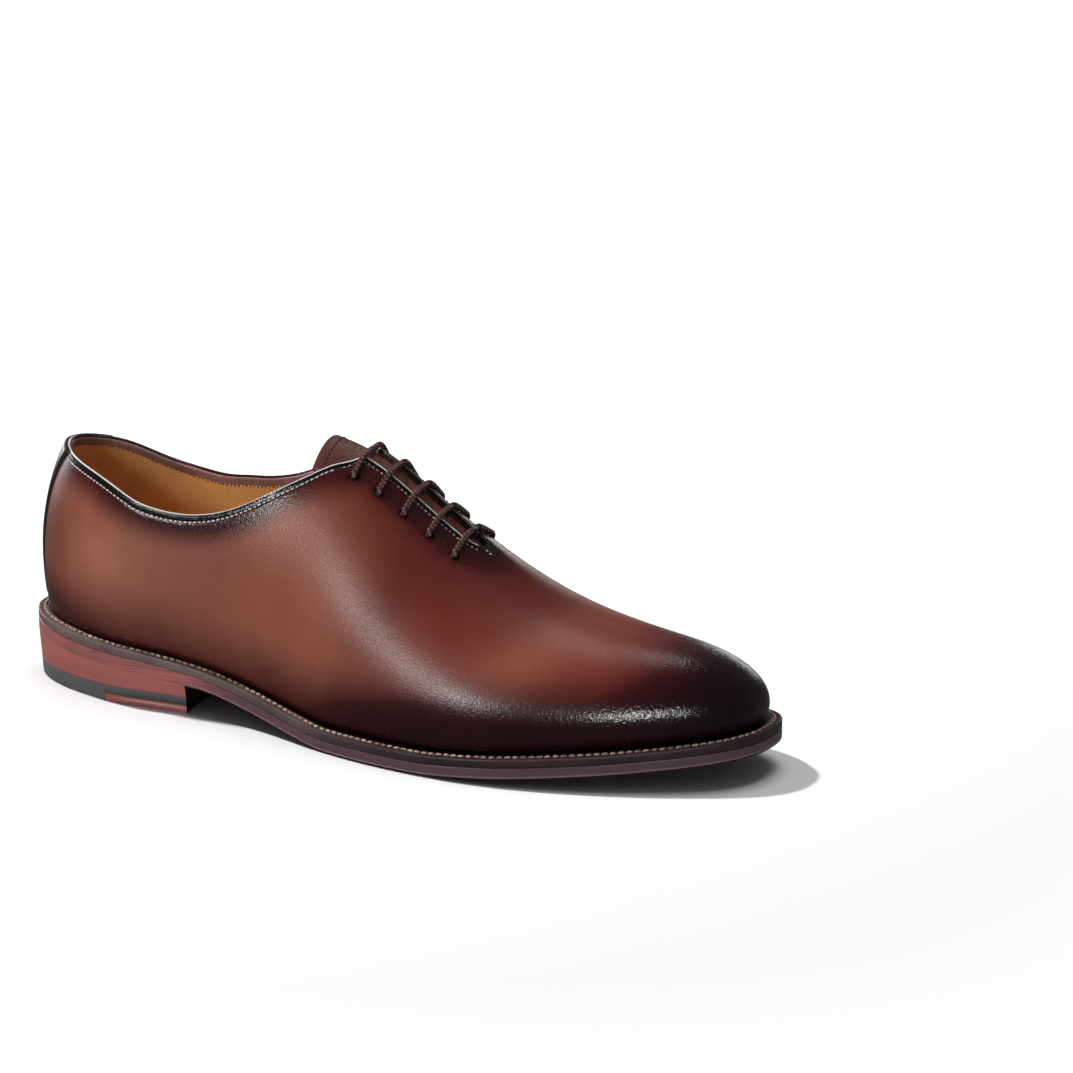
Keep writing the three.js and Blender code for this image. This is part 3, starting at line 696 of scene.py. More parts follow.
def upper_leather():
    """Polished calf: cognac on the quarters, red-brown on the vamp, near black at the toe."""
    r = Recipe("upper_leather", roughness=0.4, specular=0.4)
    cloud = r.noise(16, detail=5, roughness=0.6)
    blotch = r.noise(55, detail=4, roughness=0.6)
    pores = r.cells(1800)
    creases = r.noise(1300, detail=3)
    base = r.blend(r.value("cognac"), rgb("632216"), rgb("824632"))
    base = r.blend(r.spread(cloud, 0.35, 0.7, 0.0, 0.35), base, rgb("6e3324"))
    base = r.blend(r.spread(blotch, 0.4, 0.7, 0.0, 0.15), base, rgb("4c1c15"))
    # Painted highlight on the back quarter, and a lighter brown patch on the vamp.
    base = r.blend(r.value("highlight_and_tone"), base, rgb("a46852"))
    base = r.blend(r.value("wine"), base, rgb("4c0e08"))
    # burnish_and_shade: real burnish, plus painted shade in the crease over the welt.
    dark = r.math("ADD", r.value("burnish_and_shade"), r.spread(cloud, 0.3, 0.7, -0.06, 0.06))
    dark = r.math("ADD", dark, r.spread(blotch, 0.3, 0.7, -0.03, 0.03))
    base = r.blend(r.spread(dark, 0.0, 0.55), base, rgb("3a0708"))
    base = r.blend(r.spread(dark, 0.45, 1.0), base, rgb("13020a"))
    # Near black: the edge band along the rim, and painted shade round the eyelet holes.
    base = r.blend(r.value("rim"), base, rgb("040304"))
    r.colour(base)
    waxed = r.spread(dark, 0.2, 0.9, 0.39, 0.18)
    r.rough(r.math("ADD", waxed, r.spread(creases, 0.3, 0.7, -0.04, 0.04)))
    r.bump(pores, 0.16, 0.00025)
    r.bump(creases, 0.12, 0.00025)
    r.bump(blotch, 0.04, 0.001)
    polished = r.math("MULTIPLY", r.noise(750, detail=2), r.spread(dark, 0.1, 1.0))
    r.bump(polished, 0.4, 0.0005)
    return r.material


def plain_leather(name, code, dark_code, roughness, coat=0.0, grain=520, strength=0.2, stretch=(1, 1, 1)):
    r = Recipe(name, roughness=roughness, coat=coat, coat_roughness=0.22)
    cloud = r.noise(45, detail=5, stretch=stretch)
    r.colour(r.blend(r.spread(cloud, 0.32, 0.68), rgb(code), rgb(dark_code)))
    r.rough(r.spread(cloud, 0.3, 0.7, roughness - 0.05, roughness + 0.08))
    r.bump(r.cells(grain), strength, 0.0004)
    r.bump(r.noise(grain / 2, detail=3), strength * 0.7, 0.0005)
    return r.material


def edge_leather(name, code, dark_code, heel_code=None):
    """Cut and burnished leather edges, with fine streaks along the layers."""
    r = Recipe(name, roughness=0.33, specular=0.35)
    layers = r.noise(30, detail=4, stretch=(0.3, 0.3, 75))
    cloud = r.noise(35, detail=4)
    base = rgb(code) if heel_code is None else r.blend(r.value("heel"), rgb(code), rgb(heel_code))
    base = r.blend(r.spread(layers, 0.38, 0.68, 0.0, 0.55), base, rgb(dark_code))
    base = r.blend(r.spread(cloud, 0.4, 0.7, 0.0, 0.35), base, rgb(dark_code))
    if heel_code is not None:
        # Painted highlight: a light line along the lip where the lower bevel begins.
        base = r.blend(r.math("MULTIPLY", r.value("highlight_lip"), 0.5), base, rgb("b08c90"))
        # Painted shade on the bevel's underside, which faces the floor.
        base = r.blend(r.value("under"), base, rgb("1c060c"))
    r.colour(base)
    r.rough(r.spread(layers, 0.3, 0.7, 0.28, 0.42))
    r.bump(layers, 0.12, 0.0002)
    return r.material


def welt_leather():
    """Dark purple-brown along the foot and grey-brown round the heel, painted black as shade in the groove next to the
    upper.
    """
    r = Recipe("welt_leather", roughness=0.45, specular=0.35)
    cloud = r.spread(r.noise(45, detail=5), 0.32, 0.68)
    front = r.blend(cloud, rgb("38262c"), rgb("26181e"))
    heel = r.blend(cloud, rgb("6a5a58"), rgb("4e4040"))
    base = r.blend(r.value("heel"), front, heel)
    # Painted shade: the welt's inner part, in the groove under the upper, turns near black.
    r.colour(r.blend(r.value("groove"), base, rgb("080405")))
    r.bump(r.cells(900), 0.12, 0.0004)
    return r.material


def rubber():
    r = Recipe("heel_rubber", roughness=0.62)
    r.colour(r.blend(r.spread(r.noise(60), 0.3, 0.7), rgb("474547"), rgb("535153")))
    r.bump(r.noise(900, detail=2), 0.2, 0.0003)
    return r.material


def thread(name, code, dark_code, roughness=0.6):
    r = Recipe(name, roughness=roughness, sheen=0.1, specular=0.2)
    twist = r.noise(700, detail=2)
    r.colour(r.blend(r.spread(twist, 0.35, 0.65), rgb(code), rgb(dark_code)))
    r.bump(r.noise(1500, detail=1), 0.3, 0.0002)
    return r.material


def lace_cord():
    """Waxed cord, with a highlight painted on the crests of its braid."""
    r = Recipe("lace_cord", roughness=0.42, specular=0.4)
    crest_highlight = r.spread(r.value("rib"), 0.82, 0.99)
    base = r.blend(r.spread(r.noise(700, detail=2), 0.35, 0.65), rgb("341a1a"), rgb("442624"))
    r.colour(r.blend(crest_highlight, base, rgb("967268")))
    r.bump(r.noise(1500, detail=1), 0.3, 0.0002)
    return r.material


# Pieces of the sole


def outline_loops(steps):
    return np.linspace(0, 2, 2 * steps, endpoint=False)


def side_faces(count, rows):
    """Faces of a band whose points go round it row by row."""
    faces = []
    for j in range(rows - 1):
        for i in range(count):
            after = (i + 1) % count
            faces.append((j * count + i, (j + 1) * count + i, (j + 1) * count + after, j * count + after))
    return faces


def cap_faces(count, start, upward, lanes):
    """Quads across a loop between its two sides."""
    faces = []
    half = count // 2
    for i in range(half - 1):
        a, b = i, i + 1
        c, d = count - 1 - i, (count - i) % count
        face = (start + a, start + b, start + c, start + d)
        faces.append(face if upward else face[::-1])
    return faces


def sole_slab(name, margins, levels, material, steps=SOLE_STEPS):
    """A slab inside the outline: rows of margin from the edge and level, from the top down."""
    loops = outline_loops(steps)
    rows = []
    for margin, level in zip(margins, levels):
        plan = inset_point(loops, margin(edge_point(loops)[:, 0]) + 0 * loops)
        rows.append(np.column_stack([plan, level(plan[:, 0])]))
    count = len(loops)
    faces = side_faces(count, len(rows))
    faces += cap_faces(count, 0, True, 1)
    faces += cap_faces(count, (len(rows) - 1) * count, False, 1)
    return piece(name, np.concatenate(rows), faces, material)


def level_at(height):
    return lambda x: height + 0 * x


def rounded_edge(top, bottom, radius_top, radius_bottom):
    """Margins and levels of an upright edge whose corners are rounded."""
    margins = []
    levels = []
    for i in range(EDGE_STEPS + 1):
        angle = math.pi / 2 * (1 - i / EDGE_STEPS)
        margins.append(lambda x, share=1 - math.cos(angle): radius_top(x) * share)
        levels.append(lambda x, share=1 - math.sin(angle): top(x) - radius_top(x) * share)
    for i in range(EDGE_STEPS + 1):
        angle = math.pi / 2 * i / EDGE_STEPS
        margins.append(lambda x, share=1 - math.cos(angle): radius_bottom(x) * share)
        levels.append(lambda x, share=1 - math.sin(angle): bottom(x) + radius_bottom(x) * share)
    return margins, levels


def outsole_top(x):
    return underside(x) + OUTSOLE_THICKNESS


def outsole_bevel(x):
    """The lower corner is sharp over the heel and rounded further forward."""
    return mix(0.1, 0.9, ease(HEEL_LENGTH - 4, HEEL_LENGTH + 8, x))


def add_outsole(material):
    margins, levels = rounded_edge(outsole_top, underside, level_at(0.35), outsole_bevel)
    # Extra rows on the upright edge, dense where the painted highlight line runs.
    highlight_lip = (2.0, 1.6, 1.4, 1.2, 1.0)
    margins[EDGE_STEPS + 1 : EDGE_STEPS + 1] = [level_at(0.0)] * len(highlight_lip)
    levels[EDGE_STEPS + 1 : EDGE_STEPS + 1] = [lambda x, rise=rise: underside(x) + rise for rise in highlight_lip]
    thing = sole_slab("outsole_dressed", margins, levels, material)
    points = design_points(thing)
    rise = points[:, 2] - underside(points[:, 0])
    forward = ease(HEEL_LENGTH - 4, HEEL_LENGTH + 10, points[:, 0])
    give(thing, "heel", 1 - ease(HEEL_LENGTH - 6, HEEL_LENGTH + 30, points[:, 0]))
    # Painted highlight line at the lip of the bevel.
    give(thing, "highlight_lip", forward * np.exp(-(((rise - 1.15) / 0.22) ** 2)))
    # under: painted shade on the lower bevel's underside.
    give(thing, "under", forward * (1 - ease(0.75, 0.95, rise)))
    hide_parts("outsole")


def add_welt(material, stitches):
    loops = outline_loops(SOLE_STEPS)
    levels = []
    top = lambda x: underside(x) + OUTSOLE_THICKNESS + SEAM_GAP + WELT_THICKNESS
    bottom = lambda x: underside(x) + OUTSOLE_THICKNESS + 0.05
    near, far = WELT_STITCH_INSET - 0.9, WELT_STITCH_INSET + 0.9
    profile = ((WELT_WIDTH, 0.0), (far + 1, 0.0), (far, 0.0), (far - 0.3, -0.25), (near + 0.3, -0.25), (near, 0.0), (0.7, 0.0))
    for inset, lift in profile:
        plan = inset_point(loops, inset + 0 * loops)
        levels.append(np.column_stack([plan, top(plan[:, 0]) + lift]))
    for i in range(1, 6):
        angle = math.pi / 2 * i / 5
        plan = inset_point(loops, 0.7 * (1 - math.sin(angle)) + 0 * loops)
        levels.append(np.column_stack([plan, top(plan[:, 0]) - 0.7 * (1 - math.cos(angle))]))
    for inset, lift in ((0.0, 0.35), (0.3, 0.0), (WELT_WIDTH, 0.0)):
        plan = inset_point(loops, inset + 0 * loops)
        levels.append(np.column_stack([plan, bottom(plan[:, 0]) + lift]))
    count = len(loops)
    faces = side_faces(count, len(levels))
    last = (len(levels) - 1) * count
    for i in range(count):
        after = (i + 1) % count
        faces.append((last + i, i, after, last + after))
    thing = piece("welt_dressed", np.concatenate(levels), faces, material)
    insets = [inset for inset, _ in profile] + [0.0] * (len(levels) - len(profile))
    # groove: painted shade on the welt's inner part, next to the upper.
    give(thing, "groove", np.repeat(ease(far + 0.2, far + 1, np.array(insets)), count))
    give(thing, "heel", 1 - ease(HEEL_LENGTH, HEEL_LENGTH + 120, design_points(thing)[:, 0]))
    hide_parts("welt")
    fine = np.linspace(0, 2, 2401)
    plan = inset_point(fine, WELT_STITCH_INSET + 0 * fine)
    path = np.column_stack([plan, top(plan[:, 0]) - 0.25])
    up = np.tile((0.0, 0.0, 1.0), (len(fine), 1))
    heap = Heap()
    stitch_row(heap, path, up, WELT_STITCH_PITCH, WELT_STITCH_PITCH * 0.8, 0.6, 0.36)
    heap.make("welt_stitches", stitches, "lace")


def add_insole(material, sock):
    margin = lambda x: welt_margin(x) + UPPER_WALL + INSOLE_CLEARANCE
    bottom = lambda x: welt_top(x) + SEAM_GAP
    top = lambda x: bottom(x) + INSOLE_THICKNESS
    margins, levels = rounded_edge(top, bottom, level_at(0.8), level_at(0.2))
    inner = [(lambda x, m=m: margin(x) + m(x)) for m in margins]
    thing = sole_slab("insole_dressed", inner, levels, material)
    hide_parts("insole")
    margins, levels = rounded_edge(lambda x: top(x) + 0.9, top, level_at(0.5), level_at(0.05))
    inner = [(lambda x, m=m: margin(x) + 1.2 + m(x)) for m in margins]
    sole_slab("sock_lining", inner, levels, sock)


def heel_rows(margins, levels, steps=60, across=24):
    """The heel's outline: the back's curve and the hollow breast, row by row from the top."""
    turn_end = math.acos(1 - 2 * HEEL_LENGTH / SOLE_LENGTH) / math.pi
    share = np.linspace(0, 1, steps)
    turns = turn_end * np.sin(share * math.pi / 2)
    rows = []
    for margin, level in zip(margins, levels):
        left = inset_point(turns, margin + 0 * turns)
        right = inset_point(-turns, margin + 0 * turns)
        front = np.linspace(0, 1, across)[1:-1]
        y = mix(left[-1, 1], right[-1, 1], front)
        hollow = BREAST_HOLLOW * (1 - (2 * front - 1) ** 2)
        breast = np.column_stack([mix(left[-1, 0], right[-1, 0], front) - hollow, y])
        plan = np.concatenate([left, breast, right[::-1][:-1]])
        rows.append(np.column_stack([plan, level(plan[:, 0])]))
    return rows


def heel_layer(name, top, bottom, top_margin, bottom_margin, radius, material):
    margins = []
    levels = []
    for i in range(5):
        angle = math.pi / 2 * (1 - i / 4)
        margins.append(top_margin + radius * (1 - math.cos(angle)))
        levels.append(lambda x, d=radius * (1 - math.sin(angle)): top(x) - d)
    for i in range(5):
        angle = math.pi / 2 * i / 4
        margins.append(bottom_margin + radius * (1 - math.cos(angle)))
        levels.append(lambda x, d=radius * (1 - math.sin(angle)): bottom(x) + d)
    rows = heel_rows(margins, levels)
    count = len(rows[0])
    faces = side_faces(count, len(rows))
    faces.append(tuple(range(count)))
    faces.append(tuple(range(len(rows) * count - 1, (len(rows) - 1) * count - 1, -1)))
    return piece(name, np.concatenate(rows), faces, material)


def shade_breast(thing, material):
    """The heel's front faces get a dull black material: painted shade under the arch."""
    thing.data.materials.append(material)
    for face in thing.data.polygons:
        if face.normal.x > 0.8:
            face.material_index = 1


def breast_shade():
    r = Recipe("breast_shade", roughness=0.8, specular=0.05)
    # Near black: painted shade on the heel's breast.
    r.colour(r.blend(r.noise(120), rgb("070505"), rgb("100b0b")))
    return r.material


def heel_margin(height):
    return HEEL_TAPER * (1 - height / HEEL_HEIGHT)


def add_heel(stack_material, rubber_material, black):
    flat = lambda level: (lambda x: level + 0 * x)
    stack_bottom = TOP_PIECE_THICKNESS + 0.05
    thing = heel_layer("heel_stack_dressed", lambda x: underside(x) - 0.05, flat(stack_bottom), 0.0, heel_margin(stack_bottom), 0.08, stack_material)
    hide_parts("heel_stack")
    top_piece = heel_layer("heel_top_piece_dressed", flat(TOP_PIECE_THICKNESS), flat(0.0), heel_margin(TOP_PIECE_THICKNESS), heel_margin(0), 0.3, rubber_material)
    insert = heel_layer("heel_top_insert_dressed", flat(TOP_PIECE_THICKNESS), flat(0.0), heel_margin(TOP_PIECE_THICKNESS), heel_margin(0), 0.3, stack_material)
    start = HEEL_LENGTH - TOP_INSERT_LENGTH
    cut_block(top_piece, (start - 0.1, 200, -50, 50, -20, TOP_INSERT_THICKNESS + 0.05), "DIFFERENCE")
    cut_block(insert, (start, 200, -50, 50, -20, TOP_INSERT_THICKNESS), "INTERSECT")
    for part in (thing, top_piece, insert):
        shade_breast(part, black)
    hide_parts("heel_top_piece")
    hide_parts("heel_top_insert")


def cut_block(thing, sides, operation):
    """Cuts a piece with a block given by its sides, and keeps the result."""
    x0, x1, y0, y1, z0, z1 = sides
    corners = [(x, y, z) for x in (x0, x1) for y in (y0, y1) for z in (z0, z1)]
    faces = [(0, 1, 3, 2), (4, 6, 7, 5), (0, 4, 5, 1), (2, 3, 7, 6), (0, 2, 6, 4), (1, 5, 7, 3)]
    cut_with(thing, place(corners), faces, operation)


def cut_with(thing, points, faces, operation):
    mesh = bpy.data.meshes.new("cutter")
    mesh.from_pydata(np.asarray(points).tolist(), [], faces)
    cutter = bpy.data.objects.new("cutter", mesh)
    bpy.context.scene.collection.objects.link(cutter)
    modifier = thing.modifiers.new("cut", "BOOLEAN")
    modifier.operation = operation
    modifier.solver = "EXACT"
    modifier.object = cutter
    bpy.context.view_layer.update()
    graph = bpy.context.evaluated_depsgraph_get()
    result = bpy.data.meshes.new_from_object(thing.evaluated_get(graph), preserve_all_data_layers=True, depsgraph=graph)
    thing.modifiers.clear()
    old = thing.data
    thing.data = result
    bpy.data.meshes.remove(old)
    bpy.data.objects.remove(cutter)
    bpy.data.meshes.remove(mesh)


# Pieces of the upper


def rows_down(length):
    """Distances below a rib's upper end: close together at the edge, even further down."""
    near = np.array([0.9, 1.2, 1.5, 1.8, 2.1, 2.35, 2.6, 2.75, 2.9, 3.05, 3.2, 3.5, 4.0, 4.7, 5.6, 6.6, 7.8])
    return np.concatenate([near, np.linspace(9.0, length, 55)])


def upper_grid():
    """Loops, the ribs' ends, and climbs from the upper end down to the welt."""
    even = np.linspace(0, 2, 2 * SIDE_RIBS, endpoint=False)
    loops = even
    ends = rib_ends(loops)
    climbs = np.array([climbs_at(loop, end, rows_down) for loop, end in zip(loops, ends)])
    return loops, ends, climbs


def stitch_groove(below, depth=0.22):
    return depth * np.exp(-(((below - RIM_STITCH) / 0.4) ** 2))


def add_upper(material, grid):
    loops, ends, climbs = grid
    count = len(loops)
    on_ridge = ends >= 0.9999
    outer = upper_point(loops[:, None], climbs)
    normal = upper_normal(loops[:, None], climbs)
    lengths = np.linalg.norm(np.diff(outer, axis=1), axis=2).sum(1) + 0.9
    below = np.array([rows_down(length) for length in lengths])
    groove = np.where(on_ridge[:, None], 0, stitch_groove(below))
    outer = outer - normal * groove[..., None]
    inner = outer - normal * LEATHER
    top = upper_point(loops, ends)
    top_normal = upper_normal(loops, ends)
    toward = top - outer[:, 0]
    toward /= np.linalg.norm(toward, axis=1, keepdims=True) + 1e-9
    half = UPPER_WALL / 2
    centre = top - top_normal * half - toward * half
    arc = []
    for i in range(EDGE_STEPS + 1):
        angle = math.pi * i / EDGE_STEPS
        arc.append(centre + half * (math.cos(angle) * top_normal + math.sin(angle) * toward))
    arc = np.stack(arc, 1)
    arc[on_ridge] = top[on_ridge][:, None]
    inner_arc_end = arc[:, -1:]
    ring = np.concatenate([outer[:, ::-1], arc[:, 1:-1], inner_arc_end, inner], 1)
    rows = ring.shape[1]
    points = ring.reshape(-1, 3)
    faces = grid_faces(count, rows, True)
    for i in range(count):
        after = (i + 1) % count
        faces.append((i * rows, i * rows + rows - 1, after * rows + rows - 1, after * rows))
    thing = piece("upper_dressed", points, faces, material)
    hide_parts("upper")
    return thing


def nearest(points, targets):
    """How far each point lies from the nearest target, and which target that is."""
    away = np.empty(len(points))
    which = np.empty(len(points), int)
    for start in range(0, len(points), 4000):
        part = slice(start, start + 4000)
        distances = np.linalg.norm(points[part, None] - targets[None], axis=2)
        away[part] = distances.min(1)
        which[part] = distances.argmin(1)
    return away, which


def patch(x, middle_x, reach_x, height, middle_height, reach_height):
    return np.exp(-(((x - middle_x) / reach_x) ** 2) - ((height - middle_height) / reach_height) ** 2)


def paint_upper(thing, grid):
    """Float attributes: where the leather is cognac, where it is burnished and where shade is painted, where a
    highlight is painted, and where it is nearly black.
    """
    loops, ends, _ = grid
    points = design_points(thing)
    order = rim_order(grid)
    rim_points = upper_point(loops[order], ends[order])
    rim_normals = upper_normal(loops[order], ends[order])
    from_rim, which = nearest(points, rim_points)
    depth = -((points - rim_points[which]) * rim_normals[which]).sum(1)
    from_eyelet, _ = nearest(points, np.array([spot for spot, _ in eyelets()]))
    x, y, z = points.T
    height = z - welt_top(x)
    toe = ease(249, 294, x + 0.12 * y + 0.2 * np.clip(height - 20, -20, 20))
    back = 1 - ease(4, 44, x)
    foot_low = mix(-2, 8, ease(120, 200, x)) + 4 * ease(245, 270, x)
    foot_high = mix(27, 31, ease(120, 200, x))
    feather = 1 - np.clip((height - foot_low) / (foot_high - foot_low), 0, 1)
    # seam: painted shade, darkening the lowest 3.5 mm of the upper in the crease where it meets the welt.
    seam = 1 - ease(0, 3.5, height)
    facing = (1 - ease(3, 20, from_rim)) * ease(116, 160, x) * 0.62
    throat = (1 - ease(10, 48, from_rim)) * ease(118, 158, x) * 0.34
    collar = (1 - ease(2, 16, from_rim)) * (1 - ease(112, 158, x)) * mix(0.56, 0.7, ease(50, 100, x))
    crest = ease(200, 225, x) * ease(26, 44, height) * 0.2
    parts = (0.98 * toe, 0.34 * back, mix(0.5, 0.82, ease(120, 190, x)) * ease(0, 1, feather), 0.6 * seam, facing, throat, collar, crest)
    burnish_and_shade = 1 - np.prod([1 - part for part in parts], axis=0)
    give(thing, "cognac", 1 - ease(138, 205, x + 0.5 * (height - 35)))
    give(thing, "burnish_and_shade", burnish_and_shade)
    # highlight_and_tone: a painted highlight on the back quarter, and a lighter brown patch on the vamp.
    give(thing, "highlight_and_tone", 0.55 * patch(x, 50, 24, height, 32, 15) + 0.36 * patch(x, 225, 18, height, 31, 10))
    give(thing, "wine", 0.6 * patch(x, 172, 13, height, 48, 17) * (y < 0))
    # Painted shade in and round the eyelet holes.
    hole_shade = 1 - ease(EYELET_HOLE / 2 + 0.1, EYELET_SHADE_REACH, from_eyelet)
    edge = (1 - ease(RIM_BLACK - 0.2, RIM_BLACK + 0.4, from_rim)) * (1 - ease(1.1, 1.5, depth))
    # rim: the black edge band, together with the painted shade round the eyelet holes.
    give(thing, "rim", np.maximum(edge, 0.85 * hole_shade))


def add_lining(lining, band, grid, stitches):
    """The lining lies inside the leather, and a turned-in band covers its upper edge."""
    loops, ends, climbs = grid
    outer = pushed(loops[:, None], climbs[:, 2:], -(LEATHER - 0.02) + 0 * climbs[:, 2:])
    inner = pushed(loops[:, None], climbs[:, 2:], -(LEATHER + LINING) + 0 * climbs[:, 2:])
    sheet_between("lining", outer[:, ::-1], inner[:, ::-1], lining, wraps=True)
    order = rim_order(grid)
    share = np.linspace(0, 1, 7)
    down = mix(0.45, BAND_HEIGHT, share)
    inside = []
    outside = []
    for k in order:
        band_climbs = climbs_at(loops[k], ends[k], lambda length: down)
        thick = 0.3 * np.sqrt(np.clip(1 - (2 * share - 1) ** 8, 0, 1))
        inside.append(pushed(loops[k], band_climbs, -(LEATHER + LINING + thick)))
        outside.append(pushed(loops[k], band_climbs, -(LEATHER + LINING - 0.1) + 0 * thick))
    sheet_between("collar_band", np.array(outside)[:, ::-1], np.array(inside)[:, ::-1], band)
    row = np.array([climbs_at(loops[k], ends[k], lambda length: np.array([BAND_HEIGHT - 0.3]))[0] for k in order])
    path = pushed(loops[order], row, -(LEATHER + LINING + 0.3) + 0 * row)
    heap = Heap()
    stitch_row(heap, path, -upper_normal(loops[order], row), STITCH_PITCH, STITCH_PITCH * 0.66, 0.26, 0.22)
    heap.make("collar_band_stitches", stitches, "lace")


def rim_order(grid):
    """The ribs that end at the collar or the throat, in their order round it."""
    loops, ends, _ = grid
    keep = np.nonzero(ends < 0.9999)[0]
    breaks = np.nonzero(np.diff(keep) > 1)[0]
    return np.concatenate([keep[breaks[0] + 1 :], keep[: breaks[0] + 1]]) if len(breaks) else keep


def add_collar_stitches(collar_thread, facing_thread, grid):
    """A row of stitches along the collar and the throat."""
    loops, ends, _ = grid
    order = rim_order(grid)
    row = np.array([climbs_at(loops[k], ends[k], lambda length: np.array([RIM_STITCH]))[0] for k in order])
    path = pushed(loops[order], row, -0.2 + 0 * row)
    normals = upper_normal(loops[order], row)
    facing = path[:, 0] > THROAT_TOP - 6
    turns = np.nonzero(np.diff(facing.astype(int)))[0] + 1
    heaps = {False: Heap(), True: Heap()}
    for part in np.split(np.arange(len(path)), turns):
        if len(part) > 3:
            beside_throat = bool(facing[part[1]])
            length = STITCH_PITCH * (0.5 if beside_throat else 0.7)
            stitch_row(heaps[beside_throat], path[part], normals[part], STITCH_PITCH, length, 0.28, 0.25)
    heaps[False].make("collar_stitches", collar_thread, "lace")
    heaps[True].make("facing_stitches", facing_thread, "lace")


def add_edge_bead(material, grid):
    """A glossy bead of edge paint on the rim, with a light highlight painted along its top on the outer side."""
    loops, ends, _ = grid
    order = rim_order(grid)
    below = np.array([climbs_at(loops[k], ends[k], lambda length: np.array([0.55]))[0] for k in order])
    path = pushed(loops[order], below, -0.62 + 0 * below)
    kept = np.concatenate([[True], np.linalg.norm(np.diff(path, axis=0), axis=1) > 0.05])
    heap = Heap()
    heap.add(*tube(path[kept], np.full(int(kept.sum()), 0.66)[:, None], 10))
    thing = heap.make("edge_bead", material, "upper_leather")
    points = design_points(thing)
    # highlight_side: where the painted highlight goes, on the outer side of the shoe.
    give(thing, "highlight_side", 1 - ease(-6, 4, points[:, 1] - TOE_SWING * ridge_swing(points[:, 0] / SOLE_LENGTH)))


def edge_paint():
    r = Recipe("edge_paint", roughness=0.2, specular=0.6)
    streaks = r.noise(500, detail=2)
    base = r.blend(r.spread(streaks, 0.4, 0.7), rgb("0a0808"), rgb("1a1413"))
    upward = r.node("ShaderNodeSeparateXYZ")
    r.feed(upward.inputs["Vector"], r.node("ShaderNodeNewGeometry").outputs["Normal"])
    # Painted highlight: the bead's upward side is lightened on the outer side.
    painted_highlight = r.math("MULTIPLY", r.spread(upward.outputs["Z"], 0.6, 0.85), r.value("highlight_side"))
    r.colour(r.blend(painted_highlight, base, rgb("cfcac6")))
    r.bump(streaks, 0.1, 0.0002)
    return r.material


def eyelet_x(pair):
    return mix(FIRST_EYELET, LAST_EYELET, pair / (EYELET_PAIRS - 1))


def eyelet_reach(x, side):
    return half_gape(x) + EYELET_INSET - side * THROAT_SHIFT


def eyelets():
    """Each eyelet's place and the leather's normal there."""
    found = []
    for pair in range(EYELET_PAIRS):
        for side in (LATERAL, MEDIAL):
            x = eyelet_x(pair)
            loop, climb = beside_ridge(x, side, eyelet_reach(x, side))
            found.append((upper_point(loop, climb), upper_normal(loop, climb)))
    return found


def punch_eyelets(upper):
    heap = Heap()
    for spot, normal in eyelets():
        path = spot + normal * np.linspace(-6, 6, 3)[:, None]
        heap.add(*tube(path, np.full(3, EYELET_HOLE / 2)[:, None], 20))
    cut_with(upper, place(np.concatenate(heap.points)), heap.faces, "DIFFERENCE")


def add_back_strip(material):
    """A tapering strip over the back seam, with its edges rounded down to the leather."""
    top = rib_ends(np.array([0.0]))[0]
    down = np.linspace(0, 1, 60)
    climbs = climbs_at(0.0, top, lambda length: down * (length - 4))
    across = np.linspace(-1, 1, 25)
    outer = []
    inner = []
    turns = np.linspace(0, 0.25, 400)
    near = np.linspace(-0.25, 0.25, 101)
    near_ends = rib_ends(near)
    for share in across:
        column_out = []
        column_in = []
        for row, climb in enumerate(climbs):
            half = mix(STRIP_TOP_WIDTH, STRIP_FOOT_WIDTH, down[row]) / 2
            reach = np.interp(half, -upper_point(turns, climb)[:, 1], turns)
            loop = reach * share
            own = climb * np.interp(loop, near, near_ends) / top
            edge = min((1 - abs(share)) * half, down[row] * 40)
            thick = STRIP_THICKNESS * math.sqrt(max(0.0, 1 - max(0.0, 1 - edge / 0.9) ** 2))
            column_out.append(pushed(loop, own, STRIP_GAP + thick))
            column_in.append(pushed(loop, own, STRIP_GAP - 0.3))
        outer.append(column_out)
        inner.append(column_in)
    thing = sheet_between("back_strip_dressed", np.array(outer), np.array(inner), material)
    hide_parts("back_strip")


# Tongue and laces


def add_tongue(material, stitches):
    """A thin tongue under the facings, whose stitched top stands up above the throat."""
    stations = np.linspace(THROAT_TOP - TONGUE_RISE, THROAT_END + TONGUE_TUCK, 60)
    across = np.linspace(-1, 1, 41)
    outer = []
    inner = []
    ups = []
    for x in stations:
        corner = 1 - 0.06 * (1 - ease(0, 7, x - stations[0]))
        spots = [beside_ridge(x, LATERAL if s < 0 else MEDIAL, abs(s) * TONGUE_WIDTH / 2 * corner) for s in across]
        loops = np.array([spot[0] for spot in spots])
        climbs = np.array([spot[1] for spot in spots])
        depth = UPPER_WALL + TONGUE_GAP
        edge = np.minimum((1 - np.abs(across)) * TONGUE_WIDTH / 2, x - stations[0])
        thin = TONGUE_THICKNESS * (1 - np.sqrt(np.clip(1 - np.clip(1 - edge / 1.0, 0, 1) ** 2, 0, 1))) / 2
        outer.append(pushed(loops, climbs, -depth - thin))
        inner.append(pushed(loops, climbs, -depth - TONGUE_THICKNESS + thin))
        ups.append(upper_normal(loops, climbs))
    outer = np.array(outer)
    thing = sheet_between("tongue_dressed", outer, np.array(inner), material)
    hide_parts("tongue")
    ups = np.array(ups)
    heap = Heap()
    inset = 2
    for column in (inset, len(across) - 1 - inset):
        stitch_row(heap, outer[3:26, column], ups[3:26, column], STITCH_PITCH, STITCH_PITCH * 0.72, 0.26, 0.2)
    stitch_row(heap, outer[3, inset:-inset], ups[3, inset:-inset], STITCH_PITCH, STITCH_PITCH * 0.72, 0.26, 0.2)
    heap.make("tongue_stitches", stitches, "lace")


